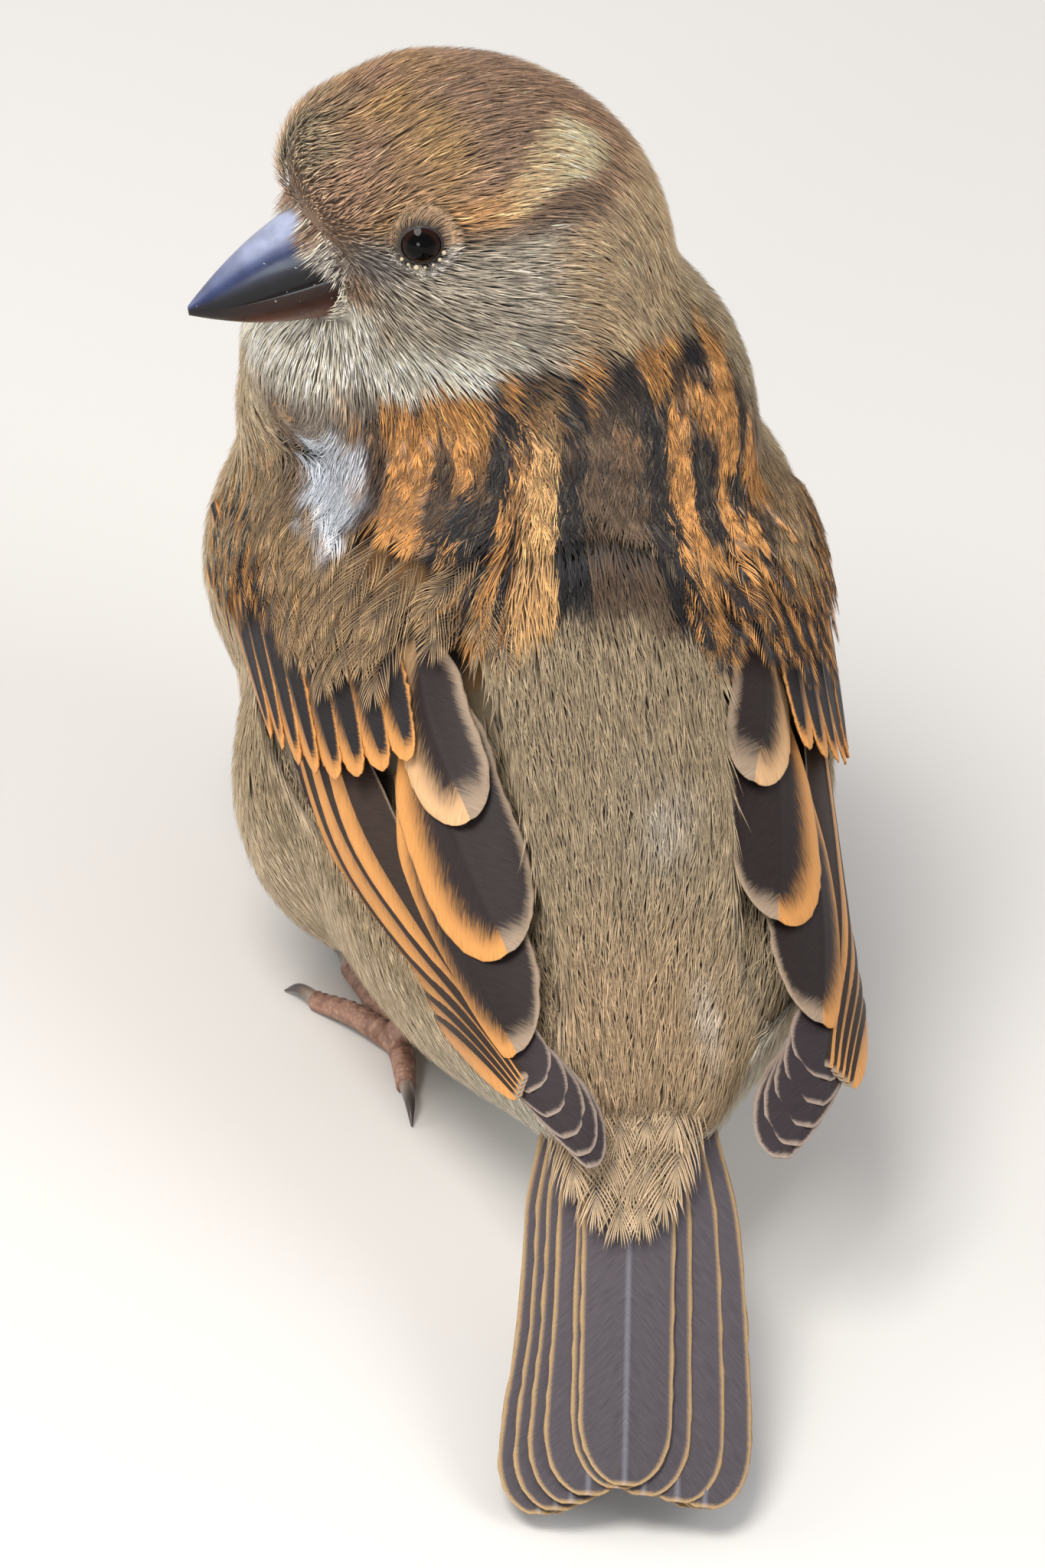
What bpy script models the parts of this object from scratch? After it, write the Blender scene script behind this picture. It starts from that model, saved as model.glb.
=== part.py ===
"""Adult female house sparrow, life size, standing crouched with its head turned over its left side.

Blender 4.5, metres, +Z up. The bird faces -Y, its tail points to +Y and its left side is +X.
Every length below is in millimetres and is turned to metres when a mesh is made. The origin is the
middle of the bird's box on the floor.
"""

import math

import bmesh
import bpy
from mathutils import Matrix, Vector

MM = 0.001
GAP = 0.3            # clearance between neighbouring solids
SMALL_GAP = 0.12     # clearance at the eyes, bill and claws
WELD = 2e-6          # metres; points nearer than this are one
SMOOTHING = 24
BODY_FACES = 0.05    # share of the even skin's faces that are kept

# The trunk: centre (y, z), half width, reach up and reach down, each section square to the spine,
# and how far its middle lies to the left.
TRUNK = [
    ((40.0, 15.8), 6.4, 3.4, 3.4, 2.0),
    ((34.0, 17.4), 9.4, 6.0, 6.4, 1.2),
    ((27.0, 19.2), 13.4, 9.2, 10.6, 0.3),
    ((17.0, 21.4), 18.4, 13.4, 15.4, 0.0),
    ((5.0, 24.8), 21.8, 17.8, 19.8, 0.0),
    ((-8.0, 29.6), 23.6, 20.8, 24.0, 0.0),
    ((-19.0, 34.6), 24.4, 20.8, 23.6, 0.0),
    ((-28.0, 41.0), 22.4, 17.6, 19.0, 0.2),
    ((-31.5, 49.0), 17.0, 14.0, 13.0, 0.6),
    ((-32.0, 56.0), 10.0, 9.0, 8.0, 1.6),
]
BELLY_FULLNESS = 2.9             # 2 is an ellipse; more hangs lower at the sides

# The head has a frame of its own: forward along the bill, left towards the tail side, and up.
HEAD_CENTRE = Vector((9.0, -20.0, 70.0))
HEAD_TURN = math.radians(94.0)   # to the bird's left
HEAD_DIP = math.radians(12.0)    # bill below the horizontal
# Along the bill axis: place, half width, crown height and throat depth.
HEAD = [
    (-17.0, 2.6, -1.6, -7.4),
    (-15.9, 6.4, 2.6, -10.6),
    (-13.0, 9.8, 7.4, -13.0),
    (-8.2, 12.2, 11.9, -14.6),
    (-2.2, 13.0, 15.0, -15.0),
    (4.0, 12.2, 16.4, -14.8),
    (8.0, 10.0, 15.2, -14.0),
    (10.4, 7.4, 12.8, -12.6),
    (12.2, 5.2, 9.6, -10.4),
    (13.6, 3.6, 6.6, -7.6),
    (14.4, 2.2, 4.4, -4.6),
]
# Soft swellings of the fluffed plumage: centre and half sizes. The brow is in the head's frame.
SWELLINGS = {
    "neck_core": ((0.6, -20.0, 48.5), (19.0, 16.5, 20.5)),
    "throat_form": ((16.5, -25.0, 55.5), (9.5, 11.0, 10.0)),
    "foreneck": ((9.5, -29.5, 47.5), (15.5, 12.5, 15.0)),
    "breast_form": ((0.4, -29.0, 33.0), (26.2, 18.5, 21.0)),
    "flank_left": ((14.0, -13.0, 20.0), (11.8, 16.0, 14.8)),
    "flank_right": ((-14.0, -13.0, 20.0), (11.8, 16.0, 14.8)),
}
BROW = ((8.4, 0.0, 7.4), (7.4, 8.8, 7.8))

# The bill, in the head's frame.
BILL_BASE = 12.2
BILL_TIP = Vector((25.2, 0.0, -1.5))
CULMEN_BASE = 6.2
GAPE_LEVEL = 1.0
CHIN_BASE = -4.2
BILL_HALF_WIDTH = 4.3

EYE_PLACE = Vector((5.9, 9.3, 5.2))
EYE_RADIUS = 2.25

# Guide curves of the folded left wing's outer face, from the wrist to the tip.
WING_BACK = [
    (13.2, -14, 49.6), (12.6, -4, 47.0), (11.4, 6, 42.0), (9.6, 17, 34.4), (8.0, 30, 27.6), (6.2, 48, 20.7),
]
WING_SIDE = [
    (23.2, -22, 42.5), (22.4, -9, 38.0), (20.6, 5, 32.5), (17.4, 17, 28.2), (13.4, 30, 24.0), (8.8, 48, 20.3),
]
WING_EDGE = [
    (26.0, -25, 31.0), (24.2, -11, 27.0), (22.2, 3, 23.0), (18.7, 16, 20.8), (15.4, 29, 19.8), (11.2, 47.5, 19.2),
]
RIGHT_WING_OUT = (1.6, 4.8)      # how much further out its back and its lower edge lie past the bend
RIGHT_WING_BEND = (0.3, 0.5)     # where along the wing that starts, and how long it takes

# The tail: its root, the heading of the middle pair and the fan.
TAIL_ROOT = Vector((0.8, 31.0, 18.6))
TAIL_TURN = math.radians(11.5)   # to the bird's left
TAIL_DROP = math.radians(17.5)
TAIL_LENGTH = 49.0
TAIL_ROOT_SPREAD = 0.60          # how much narrower the fan is at its root
TAIL_ARCH = 0.5                  # drop of the fan's sides
RECTRIX_WIDTH = 7.9
RECTRIX_THICK = 0.5
RECTRIX_STEP = 0.56              # each feather lies this much under the one over it
# Outer edge, layer down from the top, change of length and where the hidden side stops.
RECTRICES = [
    ("left_1", 3.9, 0, 0.0, None),
    ("left_2", 6.8, 1, 0.8, 0.6),
    ("left_3", 8.1, 2, 1.3, None),
    ("left_4", 9.3, 3, 1.6, None),
    ("left_5", 10.6, 4, 1.6, None),
    ("right_1", -5.6, 1, 0.4, -0.4),
    ("right_2", -10.7, 2, 0.6, None),
    ("right_3", -10.4, 3, 0.2, None),
]

# The feet. The toes run from the foot's joint; each ends in a claw.
FOOT = Vector((12.5, -1.0, 1.75))
HEEL = Vector((11.6, 9.0, 13.0))
TOE_RADIUS = 1.05
TOES = {  # heading in degrees outward from straight ahead, toe length, claw length
    "inner": (-20.0, 9.0, 3.4),
    "middle": (7.0, 13.0, 4.0),
    "outer": (36.0, 9.6, 3.4),
    "hind": (174.0, 6.6, 5.4),
}

COLOURS = {
    "crown_plumage": ((0.29, 0.21, 0.13), 0.85),
    "back_plumage": ((0.36, 0.26, 0.16), 0.85),
    "wing_vane": ((0.12, 0.08, 0.06), 0.6),
    "covert_plumage": ((0.30, 0.20, 0.11), 0.8),
    "tail_vane": ((0.20, 0.15, 0.12), 0.6),
    "bill_horn": ((0.10, 0.10, 0.13), 0.3),
    "eye": ((0.02, 0.01, 0.008), 0.05),
    "leg_skin": ((0.36, 0.22, 0.17), 0.55),
    "claw_horn": ((0.09, 0.07, 0.06), 0.35),
}


def clear_scene():
    for obj in list(bpy.data.objects):
        bpy.data.objects.remove(obj)


def new_collection(name):
    made = bpy.data.collections.new(name)
    bpy.context.scene.collection.children.link(made)
    return made


def make_materials():
    made = {}
    for name, (colour, roughness) in COLOURS.items():
        material = bpy.data.materials.new(name)
        material.use_nodes = True
        shader = material.node_tree.nodes["Principled BSDF"]
        shader.inputs["Base Color"].default_value = (*colour, 1.0)
        shader.inputs["Roughness"].default_value = roughness
        shader.inputs["Metallic"].default_value = 0.0
        made[name] = material
    return made


def link_mesh(name, mesh, collection, material=None):
    obj = bpy.data.objects.new(name, mesh)
    collection.objects.link(obj)
    if material:
        obj.data.materials.clear()
        obj.data.materials.append(material)
    return obj


def as_guide(obj):
    obj.hide_render = True
    obj.display_type = "WIRE"
    return obj


def finished_mesh(obj):
    """The object's mesh with its modifiers applied, as a new mesh in world space."""
    bpy.context.view_layer.update()
    graph = bpy.context.evaluated_depsgraph_get()
    mesh = bpy.data.meshes.new_from_object(obj.evaluated_get(graph))
    mesh.transform(obj.matrix_world)
    return mesh


def smooth_value(points, t):
    """A smooth curve through the points, read at t from 0 to 1."""
    spans = len(points) - 1
    at = t * spans
    i = min(max(int(at), 0), spans - 1)
    f = at - i
    p1, p2 = points[i], points[i + 1]
    p0 = points[i - 1] if i > 0 else 2 * p1 - p2
    p3 = points[i + 2] if i + 2 <= spans else 2 * p2 - p1
    return 0.5 * (2 * p1 + (p2 - p0) * f + (2 * p0 - 5 * p1 + 4 * p2 - p3) * f * f
                  + (3 * p1 - p0 - 3 * p2 + p3) * f ** 3)


def loft(name, rings, collection, material=None):
    """A closed skin over rings of equal point count, with a fan of faces at each end."""
    bm = bmesh.new()
    rows = [[bm.verts.new(Vector(p) * MM) for p in ring] for ring in rings]
    count = len(rows[0])
    for a, b in zip(rows, rows[1:]):
        for i in range(count):
            j = (i + 1) % count
            bm.faces.new((a[i], a[j], b[j], b[i]))
    for row in (rows[0][::-1], rows[-1]):
        middle = bm.verts.new(sum((v.co for v in row), Vector()) / count)
        for i in range(count):
            bm.faces.new((middle, row[i], row[(i + 1) % count]))
    if bm.calc_volume(signed=True) < 0:
        bmesh.ops.reverse_faces(bm, faces=bm.faces)
    mesh = bpy.data.meshes.new(name)
    bm.to_mesh(mesh)
    bm.free()
    return link_mesh(name, mesh, collection, material)


def ellipsoid(name, centre, half_sizes, collection, material=None, segments=32, rings=16):
    bm = bmesh.new()
    bmesh.ops.create_uvsphere(bm, u_segments=segments, v_segments=rings, radius=1.0)
    bmesh.ops.scale(bm, vec=Vector(half_sizes) * MM, verts=bm.verts)
    bmesh.ops.translate(bm, vec=Vector(centre) * MM, verts=bm.verts)
    mesh = bpy.data.meshes.new(name)
    bm.to_mesh(mesh)
    bm.free()
    return link_mesh(name, mesh, collection, material)


def boolean(obj, other, operation, folds=False):
    """folds says that one of the two crosses itself."""
    modifier = obj.modifiers.new(operation.lower() + "_" + other.name, "BOOLEAN")
    modifier.operation = operation
    modifier.solver = "EXACT"
    modifier.object = other
    modifier.use_self = folds
    return modifier


def applied(obj):
    """Turns the object's modifiers into its mesh."""
    mesh = finished_mesh(obj)
    bm = bmesh.new()
    bm.from_mesh(mesh)
    bmesh.ops.triangulate(bm, faces=bm.faces)
    bmesh.ops.remove_doubles(bm, verts=bm.verts, dist=WELD)
    bmesh.ops.dissolve_degenerate(bm, edges=bm.edges, dist=WELD)
    bm.to_mesh(mesh)
    bm.free()
    obj.modifiers.clear()
    old = obj.data
    obj.data = mesh
    obj.matrix_world = Matrix.Identity(4)
    bpy.data.meshes.remove(old)
    return obj


def head_axes():
    forward = Vector((math.sin(HEAD_TURN) * math.cos(HEAD_DIP),
                      -math.cos(HEAD_TURN) * math.cos(HEAD_DIP), -math.sin(HEAD_DIP)))
    left = Vector((math.cos(HEAD_TURN), math.sin(HEAD_TURN), 0.0))
    return forward, left, forward.cross(left)


def in_head(point):
    forward, left, up = head_axes()
    return HEAD_CENTRE + forward * point[0] + left * point[1] + up * point[2]


def trunk_rings(sections=24, points=28):
    """Egg-shaped rings square to the spine, from the tail's root to the base of the neck."""
    centres = [Vector((s[4], s[0][0], s[0][1])) for s in TRUNK]
    rings = []
    for i in range(sections):
        t = i / (sections - 1)
        centre = smooth_value(centres, t)
        ahead = smooth_value(centres, min(t + 0.02, 1.0)) - smooth_value(centres, max(t - 0.02, 0.0))
        ahead.x = 0.0
        ahead.normalize()
        up = Vector((0.0, ahead.z, -ahead.y))
        width = smooth_value([s[1] for s in TRUNK], t)
        above = smooth_value([s[2] for s in TRUNK], t)
        below = smooth_value([s[3] for s in TRUNK], t)
        ring = []
        for k in range(points):
            angle = 2 * math.pi * k / points
            across, rise = math.cos(angle), math.sin(angle)
            reach = above if rise > 0 else below
            if rise < 0:
                across = math.copysign(abs(across) ** (2 / BELLY_FULLNESS), across)
                rise = -abs(rise) ** (2 / BELLY_FULLNESS)
            ring.append(centre + Vector((across * width, 0, 0)) + up * rise * reach)
        rings.append(ring)
    return rings


def head_rings(sections=20, points=24):
    rings = []
    for i in range(sections):
        t = i / (sections - 1)
        place, width, top, bottom = (smooth_value([s[k] for s in HEAD], t) for k in range(4))
        middle, half = (top + bottom) / 2, (top - bottom) / 2
        ring = []
        for k in range(points):
            angle = 2 * math.pi * k / points
            ring.append(in_head((place, math.cos(angle) * width, middle + math.sin(angle) * half)))
        rings.append(ring)
    return rings


def make_body_form(guides):
    """Trunk, neck and head as one smooth closed form, before it is parted."""
    shapes = [loft("trunk_form", trunk_rings(), guides), loft("head_form", head_rings(), guides)]
    shapes += [ellipsoid(name, centre, sizes, guides) for name, (centre, sizes) in SWELLINGS.items()]
    brow = ellipsoid("brow_form", (0, 0, 0), BROW[1], guides)
    forward, left, up = head_axes()
    turn = Matrix((forward, left, up)).transposed().to_4x4()
    brow.data.transform(Matrix.Translation(in_head(BROW[0]) * MM) @ turn)
    shapes.append(brow)
    joined = bmesh.new()
    for shape in shapes:
        joined.from_mesh(as_guide(shape).data)
    mesh = bpy.data.meshes.new("body_form")
    joined.to_mesh(mesh)
    joined.free()
    form = link_mesh("body_form", mesh, guides)
    remesh = form.modifiers.new("even_skin", "REMESH")
    remesh.mode = "VOXEL"
    remesh.voxel_size = 1.0 * MM
    soften = form.modifiers.new("soften", "SMOOTH")
    soften.factor = 0.5
    soften.iterations = SMOOTHING
    thin = form.modifiers.new("fewer_faces", "DECIMATE")
    thin.ratio = BODY_FACES
    applied(form)
    return as_guide(form)


def swollen(form, distance, name, guides):
    """A copy of the form pushed out along its normals, to cut what lies on it."""
    copy = link_mesh(name, form.data.copy(), guides)
    push = copy.modifiers.new("clearance", "DISPLACE")
    push.direction = "NORMAL"
    push.mid_level = 0.0
    push.strength = distance * MM
    applied(copy)
    return as_guide(copy)


def cut_away(mesh, point, normal):
    """Removes the side of the mesh that the normal points to and closes the cut."""
    bm = bmesh.new()
    bm.from_mesh(mesh)
    cut = bmesh.ops.bisect_plane(bm, geom=bm.verts[:] + bm.edges[:] + bm.faces[:], dist=1e-7,
                                 plane_co=Vector(point) * MM, plane_no=Vector(normal), clear_outer=True)
    edges = [e for e in cut["geom_cut"] if isinstance(e, bmesh.types.BMEdge)]
    made = bmesh.ops.edgeloop_fill(bm, edges=edges)
    bmesh.ops.triangulate(bm, faces=made["faces"])
    bmesh.ops.recalc_face_normals(bm, faces=bm.faces)
    bm.to_mesh(mesh)
    bm.free()


# Where the body is parted: a point on each thin cut and the direction towards the head.
HEAD_CUT = (Vector((5.0, -20.0, 58.5)), Vector((0.42, -0.12, 0.9)).normalized())
NECK_CUT = (Vector((2.0, -24.0, 50.5)), Vector((0.2, -0.30, 0.93)).normalized())


def make_body(form, nodes, guides, materials):
    """The head, neck and trunk, parted by two thin cuts, with a hollow for each wing."""
    parts = {}
    for name, cuts, material in (
        ("head", [(HEAD_CUT, -1)], "crown_plumage"),
        ("neck", [(HEAD_CUT, 1), (NECK_CUT, -1)], "back_plumage"),
        ("trunk", [(NECK_CUT, 1)], "back_plumage"),
    ):
        mesh = form.data.copy()
        for (point, towards_head), side in cuts:
            cut_away(mesh, point - towards_head * side * GAP / 2, towards_head * side)
        parts[name] = link_mesh(name, mesh, nodes, materials[material])
    for side, sign in (("left", 1), ("right", -1)):
        boolean(parts["trunk"], make_wing_room(side, sign, guides), "DIFFERENCE", folds=True)
    return parts


def bill_half(name, base_low, base_high, tip_low, tip_high, bow_low, bow_high, nodes, material, start):
    """Half of the bill: rings from the face to the tip between a lower and an upper line."""
    rings = []
    count, sections = 14, 8
    for i in range(sections):
        t = i / (sections - 1)
        place = start + (BILL_TIP.x - start) * (1 - (1 - t) ** 1.25)
        s = (place - start) / (BILL_TIP.x - start)
        high = base_high + (tip_high - base_high) * s + bow_high * math.sin(math.pi * s)
        low = base_low + (tip_low - base_low) * s + bow_low * math.sin(math.pi * s)
        width = BILL_HALF_WIDTH * max(1 - s, 0.0) ** 0.72 + 0.12
        ring = []
        for k in range(count):
            angle = 2 * math.pi * k / count
            across = math.copysign(abs(math.cos(angle)) ** 0.85, math.cos(angle)) * width
            height = (high + low) / 2 + math.sin(angle) * (high - low) / 2
            ring.append(in_head((place, across, height)))
        rings.append(ring)
    return loft(name, rings, nodes, material)


def make_bill(nodes, material):
    seam = 0.06
    upper = bill_half("bill_upper", GAPE_LEVEL + seam, CULMEN_BASE, BILL_TIP.z + 0.1, BILL_TIP.z + 0.5,
                      -0.35, 1.35, nodes, material, BILL_BASE)
    lower = bill_half("bill_lower", CHIN_BASE, GAPE_LEVEL - seam, BILL_TIP.z - 0.45, BILL_TIP.z,
                      -0.75, -0.35, nodes, material, BILL_BASE)
    return [upper, lower]


def make_eyes(head, nodes, guides, material):
    for side, sign in (("left", 1), ("right", -1)):
        place = in_head((EYE_PLACE.x, sign * EYE_PLACE.y, EYE_PLACE.z))
        socket = as_guide(ellipsoid("socket_" + side, place, [EYE_RADIUS + SMALL_GAP] * 3, guides,
                                    segments=14, rings=8))
        boolean(head, socket, "DIFFERENCE")
        ellipsoid("eye_" + side, place, [EYE_RADIUS] * 3, nodes, material, segments=14, rings=8)


def wing_point(s, t, sign):
    """A point on the folded wing's outer face: s from wrist to tip, t from the back to the lower edge."""
    lines = (WING_BACK, WING_SIDE, WING_EDGE)
    back, side, edge = (smooth_value([Vector(p) for p in line], s) for line in lines)
    bulge = 2 * side - (back + edge) / 2
    point = back * (1 - t) ** 2 + bulge * 2 * t * (1 - t) + edge * t * t
    if sign < 0:
        bend = min(max((s - RIGHT_WING_BEND[0]) / RIGHT_WING_BEND[1], 0.0), 1.0)
        out = RIGHT_WING_OUT[0] + (RIGHT_WING_OUT[1] - RIGHT_WING_OUT[0]) * t
        point.x += out * bend * bend * (3 - 2 * bend)
    return Vector((point.x * sign, point.y, point.z))


def wing_normal(s, t, sign):
    along = wing_point(s + 0.02, t, sign) - wing_point(s - 0.02, t, sign)
    across = wing_point(s, t + 0.05, sign) - wing_point(s, t - 0.05, sign)
    normal = along.cross(across).normalized()
    return normal if normal.x * sign > 0 else -normal


def wing_plate(name, spans, low, high, outline, sign, nodes, material, steps, edge_share=0.6):
    """A curved plate that follows the wing's face between two heights over it.
    outline gives the t of its back edge and of its lower edge at each place along it; edge_share is
    how much of the thickness its edges keep."""
    along, across = steps
    rings = []
    for i in range(along + 1):
        f = 1 - (1 - i / along) ** 1.35
        s = spans[0] + (spans[1] - spans[0]) * f
        t0, t1 = outline(f)
        top, bottom = [], []
        for j in range(across + 1):
            g = j / across
            t = t0 + (t1 - t0) * g
            point, normal = wing_point(s, t, sign), wing_normal(s, t, sign)
            edge = edge_share + (1 - edge_share) * math.sin(math.pi * g) ** 0.5
            middle, half = (high + low) / 2, (high - low) / 2 * edge
            top.append(point + normal * (middle + half))
            bottom.append(point + normal * (middle - half))
        rings.append(top + bottom[::-1])
    return loft(name, rings, nodes, material)


def tip_shape(t_back, t_low, start=0.0, power=2.2, root=1.0):
    """An outline that keeps its width and then closes to a round tip."""
    def outline(f):
        close = max(f - start, 0.0) / (1 - start)
        narrow = max(1 - close ** power, 0.02) ** 0.6
        middle = (t_back + t_low) / 2
        open_up = min(1.0, root + f * 3)
        half = (t_low - t_back) / 2 * narrow * open_up
        return middle - half, middle + half
    return outline


WING_LAYERS = [
    # name, material, span along the wing, lower face, upper face, outline, steps
    ("primaries", "wing_vane", (0.35, 1.0), -3.35, -2.6, tip_shape(0.20, 1.0, 0.62, 1.8), (12, 3)),
    ("secondaries", "wing_vane", (0.35, 0.90), -2.42, -1.9, tip_shape(0.15, 0.96, 0.62, 2.2), (14, 4)),
    ("tertial_long", "wing_vane", (0.35, 0.87), -1.68, -1.15, tip_shape(0.0, 0.72, 0.60, 2.4), (9, 3)),
    ("tertial_middle", "wing_vane", (0.35, 0.75), -1.0, -0.45, tip_shape(0.0, 0.58, 0.60, 2.4), (8, 3)),
    ("tertial_short", "wing_vane", (0.35, 0.58), -0.35, 0.2, tip_shape(0.0, 0.46, 0.60, 2.4), (6, 3)),
    ("arm", "covert_plumage", (0.0, 0.34), -3.2, 0.2, tip_shape(0.04, 0.98, 0.999, 3.0), (5, 4)),
    ("coverts", "covert_plumage", (0.0, 0.46), 0.3, 0.85, tip_shape(0.04, 0.97, 0.62, 2.4), (8, 4)),
]
WING_ROOM = (-0.03, 1.02, -3.7, 1.6, -0.05, 1.05)   # the hollow in the body that the wing lies in


def make_wing_room(side, sign, guides):
    start, end, low, high, back, edge = WING_ROOM
    room = wing_plate("wing_room_" + side, (start, end), low, high, lambda f: (back, edge), sign, guides,
                      None, (12, 6), 1.0)
    return as_guide(room)


def make_wing(side, sign, nodes, materials):
    for name, material, spans, low, high, outline, steps in WING_LAYERS:
        wing_plate(f"wing_{side}_{name}", spans, low, high, outline, sign, nodes, materials[material], steps)


def tail_axes():
    ahead = Vector((math.sin(TAIL_TURN) * math.cos(TAIL_DROP), math.cos(TAIL_TURN) * math.cos(TAIL_DROP),
                    -math.sin(TAIL_DROP)))
    side = Vector((math.cos(TAIL_TURN), -math.sin(TAIL_TURN), 0.0))
    return ahead, side, side.cross(ahead)


def make_rectrix(name, edge, layer, length, inner, nodes, material):
    """One tail feather: a thin plate with a round end. edge is its outer side's place at the wide part,
    positive to the left; layer counts down from the top feather; inner stops its hidden side."""
    ahead, side, up = tail_axes()
    sign = math.copysign(1.0, edge)
    lift = -layer * RECTRIX_STEP
    steps = 10
    rings = []
    for i in range(steps + 1):
        f = 1 - (1 - i / steps) ** 1.6
        spread = TAIL_ROOT_SPREAD + (1 - TAIL_ROOT_SPREAD) * min(f / 0.9, 1.0)
        close = max(f - 0.84, 0.0) / 0.16
        half = RECTRIX_WIDTH / 2 * (0.6 + 0.4 * min(f / 0.6, 1.0)) * max(1 - close ** 2.0, 0.04) ** 0.5
        middle = (abs(edge) - RECTRIX_WIDTH / 2) * spread
        far = middle + half
        near = middle - half if inner is None else max(middle - half, inner * spread)
        near = min(near, far - 0.4)
        top, bottom = [], []
        for g in (0.0, 0.5, 1.0):
            across = near + (far - near) * g
            arch = -TAIL_ARCH * (across * sign / 10.0) ** 2
            centre = TAIL_ROOT + ahead * length * f + side * sign * across + up * (lift + arch)
            top.append(centre + up * RECTRIX_THICK / 2)
            bottom.append(centre - up * RECTRIX_THICK / 2)
        rings.append(top + bottom[::-1])
    return loft(name, rings, nodes, material)


def make_tail(cutter, nodes, material):
    made = []
    for name, edge, layer, length, inner in RECTRICES:
        feather = make_rectrix("tail_" + name, edge, layer, TAIL_LENGTH + length, inner, nodes, material)
        boolean(feather, cutter, "DIFFERENCE")
        made.append(feather)
    return made


# Soft pads over and under the tail's root: reach along the tail, half widths and thicknesses, root to tip.
TAIL_PADS = {
    "upper": (0.3, 1, (0.0, 20.5), (7.0, 6.4, 5.0, 1.6), (2.6, 2.4, 1.3, 0.6)),
    "under": (-3.35, -1, (0.0, 22.0), (7.0, 6.6, 5.0, 1.6), (3.4, 3.0, 1.6, 0.6)),
}


def make_tail_coverts(cutter, nodes, material):
    ahead, side, up = tail_axes()
    for name, (start, sense, (near, far), widths, depths) in TAIL_PADS.items():
        rings = []
        for i in range(9):
            t = i / 8
            centre = TAIL_ROOT + ahead * (near + (far - near) * t) + up * start
            width, depth = smooth_value(list(widths), t), smooth_value(list(depths), t)
            ring = [centre + side * width * math.cos(a) + up * sense * depth * max(math.sin(a), 0.0)
                    for a in (math.pi * k / 6 for k in range(7))]
            rings.append(ring)
        pad = loft("tail_coverts_" + name, rings, nodes, material)
        boolean(pad, cutter, "DIFFERENCE")


def limb(name, points, radii, collection, material=None, sides=7, steps=2):
    """A round limb along a smooth curve through the points, with its own radius at each."""
    rings = []
    spans = (len(points) - 1) * steps
    for i in range(spans + 1):
        t = i / spans
        centre, radius = smooth_value(points, t), smooth_value(radii, t)
        ahead = (smooth_value(points, min(t + 0.02, 1)) - smooth_value(points, max(t - 0.02, 0))).normalized()
        across = ahead.cross(Vector((0, 0, 1)) if abs(ahead.z) < 0.9 else Vector((1, 0, 0))).normalized()
        up = across.cross(ahead)
        rings.append([centre + (across * math.cos(a) + up * math.sin(a)) * radius
                      for a in (2 * math.pi * k / sides for k in range(sides))])
    return loft(name, rings, collection, material)


def toe_direction(degrees, sign):
    angle = math.radians(degrees)
    return Vector((sign * math.sin(angle), -math.cos(angle), 0.0))


def make_foot(side, sign, cutter, nodes, guides, materials):
    """Tarsus and toes as one solid with a flat sole, and a claw on each toe."""
    foot, heel = (Vector((p.x * sign, p.y, p.z)) for p in (FOOT, HEEL))
    leg = limb(f"leg_{side}", [heel, (foot + heel) / 2 + Vector((0, 0.3, 0)), foot + Vector((0, 0.2, 0.2))],
               [1.5, 1.05, 1.5], nodes, materials["leg_skin"])
    for toe, (degrees, length, claw) in TOES.items():
        ahead = toe_direction(degrees, sign)
        start = Vector((foot.x, foot.y, TOE_RADIUS))
        knuckle = start + ahead * length * 0.5 + Vector((0, 0, 0.4))
        end = start + ahead * length + Vector((0, 0, -0.28))
        part = as_guide(limb(f"{toe}_toe_{side}", [start, knuckle, end],
                             [TOE_RADIUS * 1.15, TOE_RADIUS, TOE_RADIUS * 0.8], guides))
        boolean(leg, part, "UNION")
        root = end + ahead * (SMALL_GAP + 0.02)
        limb(f"claw_{side}_{toe}",
             [root + Vector((0, 0, 0.1)), root + ahead * claw * 0.55 + Vector((0, 0, 0.28)),
              root + ahead * claw + Vector((0, 0, -0.62))],
             [0.62, 0.46, 0.1], nodes, materials["claw_horn"], sides=6, steps=2)
    boolean(leg, cutter, "DIFFERENCE")
    applied(leg)
    cut_away(leg.data, (0, 0, 0), (0, 0, -1))


def rest_on_origin(nodes):
    """Moves every node so that the origin is the middle of the bird's box, on the floor."""
    bpy.context.view_layer.update()
    graph = bpy.context.evaluated_depsgraph_get()
    corners = []
    for obj in nodes.objects:
        shown = obj.evaluated_get(graph)
        corners += [shown.matrix_world @ Vector(c) for c in shown.bound_box]
    low = Vector(min(c[k] for c in corners) for k in range(3))
    high = Vector(max(c[k] for c in corners) for k in range(3))
    shift = Vector(((low.x + high.x) / -2, (low.y + high.y) / -2, -low.z))
    for obj in nodes.objects:
        obj.location += shift
    return shift


def main():
    clear_scene()
    materials = make_materials()
    nodes = new_collection("house_sparrow")
    guides = new_collection("guides")
    form = make_body_form(guides)
    cutter = swollen(form, GAP, "body_clearance", guides)
    face_cutter = swollen(form, SMALL_GAP, "face_clearance", guides)
    body = make_body(form, nodes, guides, materials)
    bill = make_bill(nodes, materials["bill_horn"])
    for half in bill:
        boolean(half, face_cutter, "DIFFERENCE")
    make_eyes(body["head"], nodes, guides, materials["eye"])
    for side, sign in (("left", 1), ("right", -1)):
        make_wing(side, sign, nodes, materials)
        make_foot(side, sign, cutter, nodes, guides, materials)
    make_tail(cutter, nodes, materials["tail_vane"])
    make_tail_coverts(cutter, nodes, materials["back_plumage"])
    for obj in list(nodes.objects):
        applied(obj)
    rest_on_origin(nodes)
    for obj in nodes.objects:
        obj.data.shade_smooth()


main()
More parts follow.
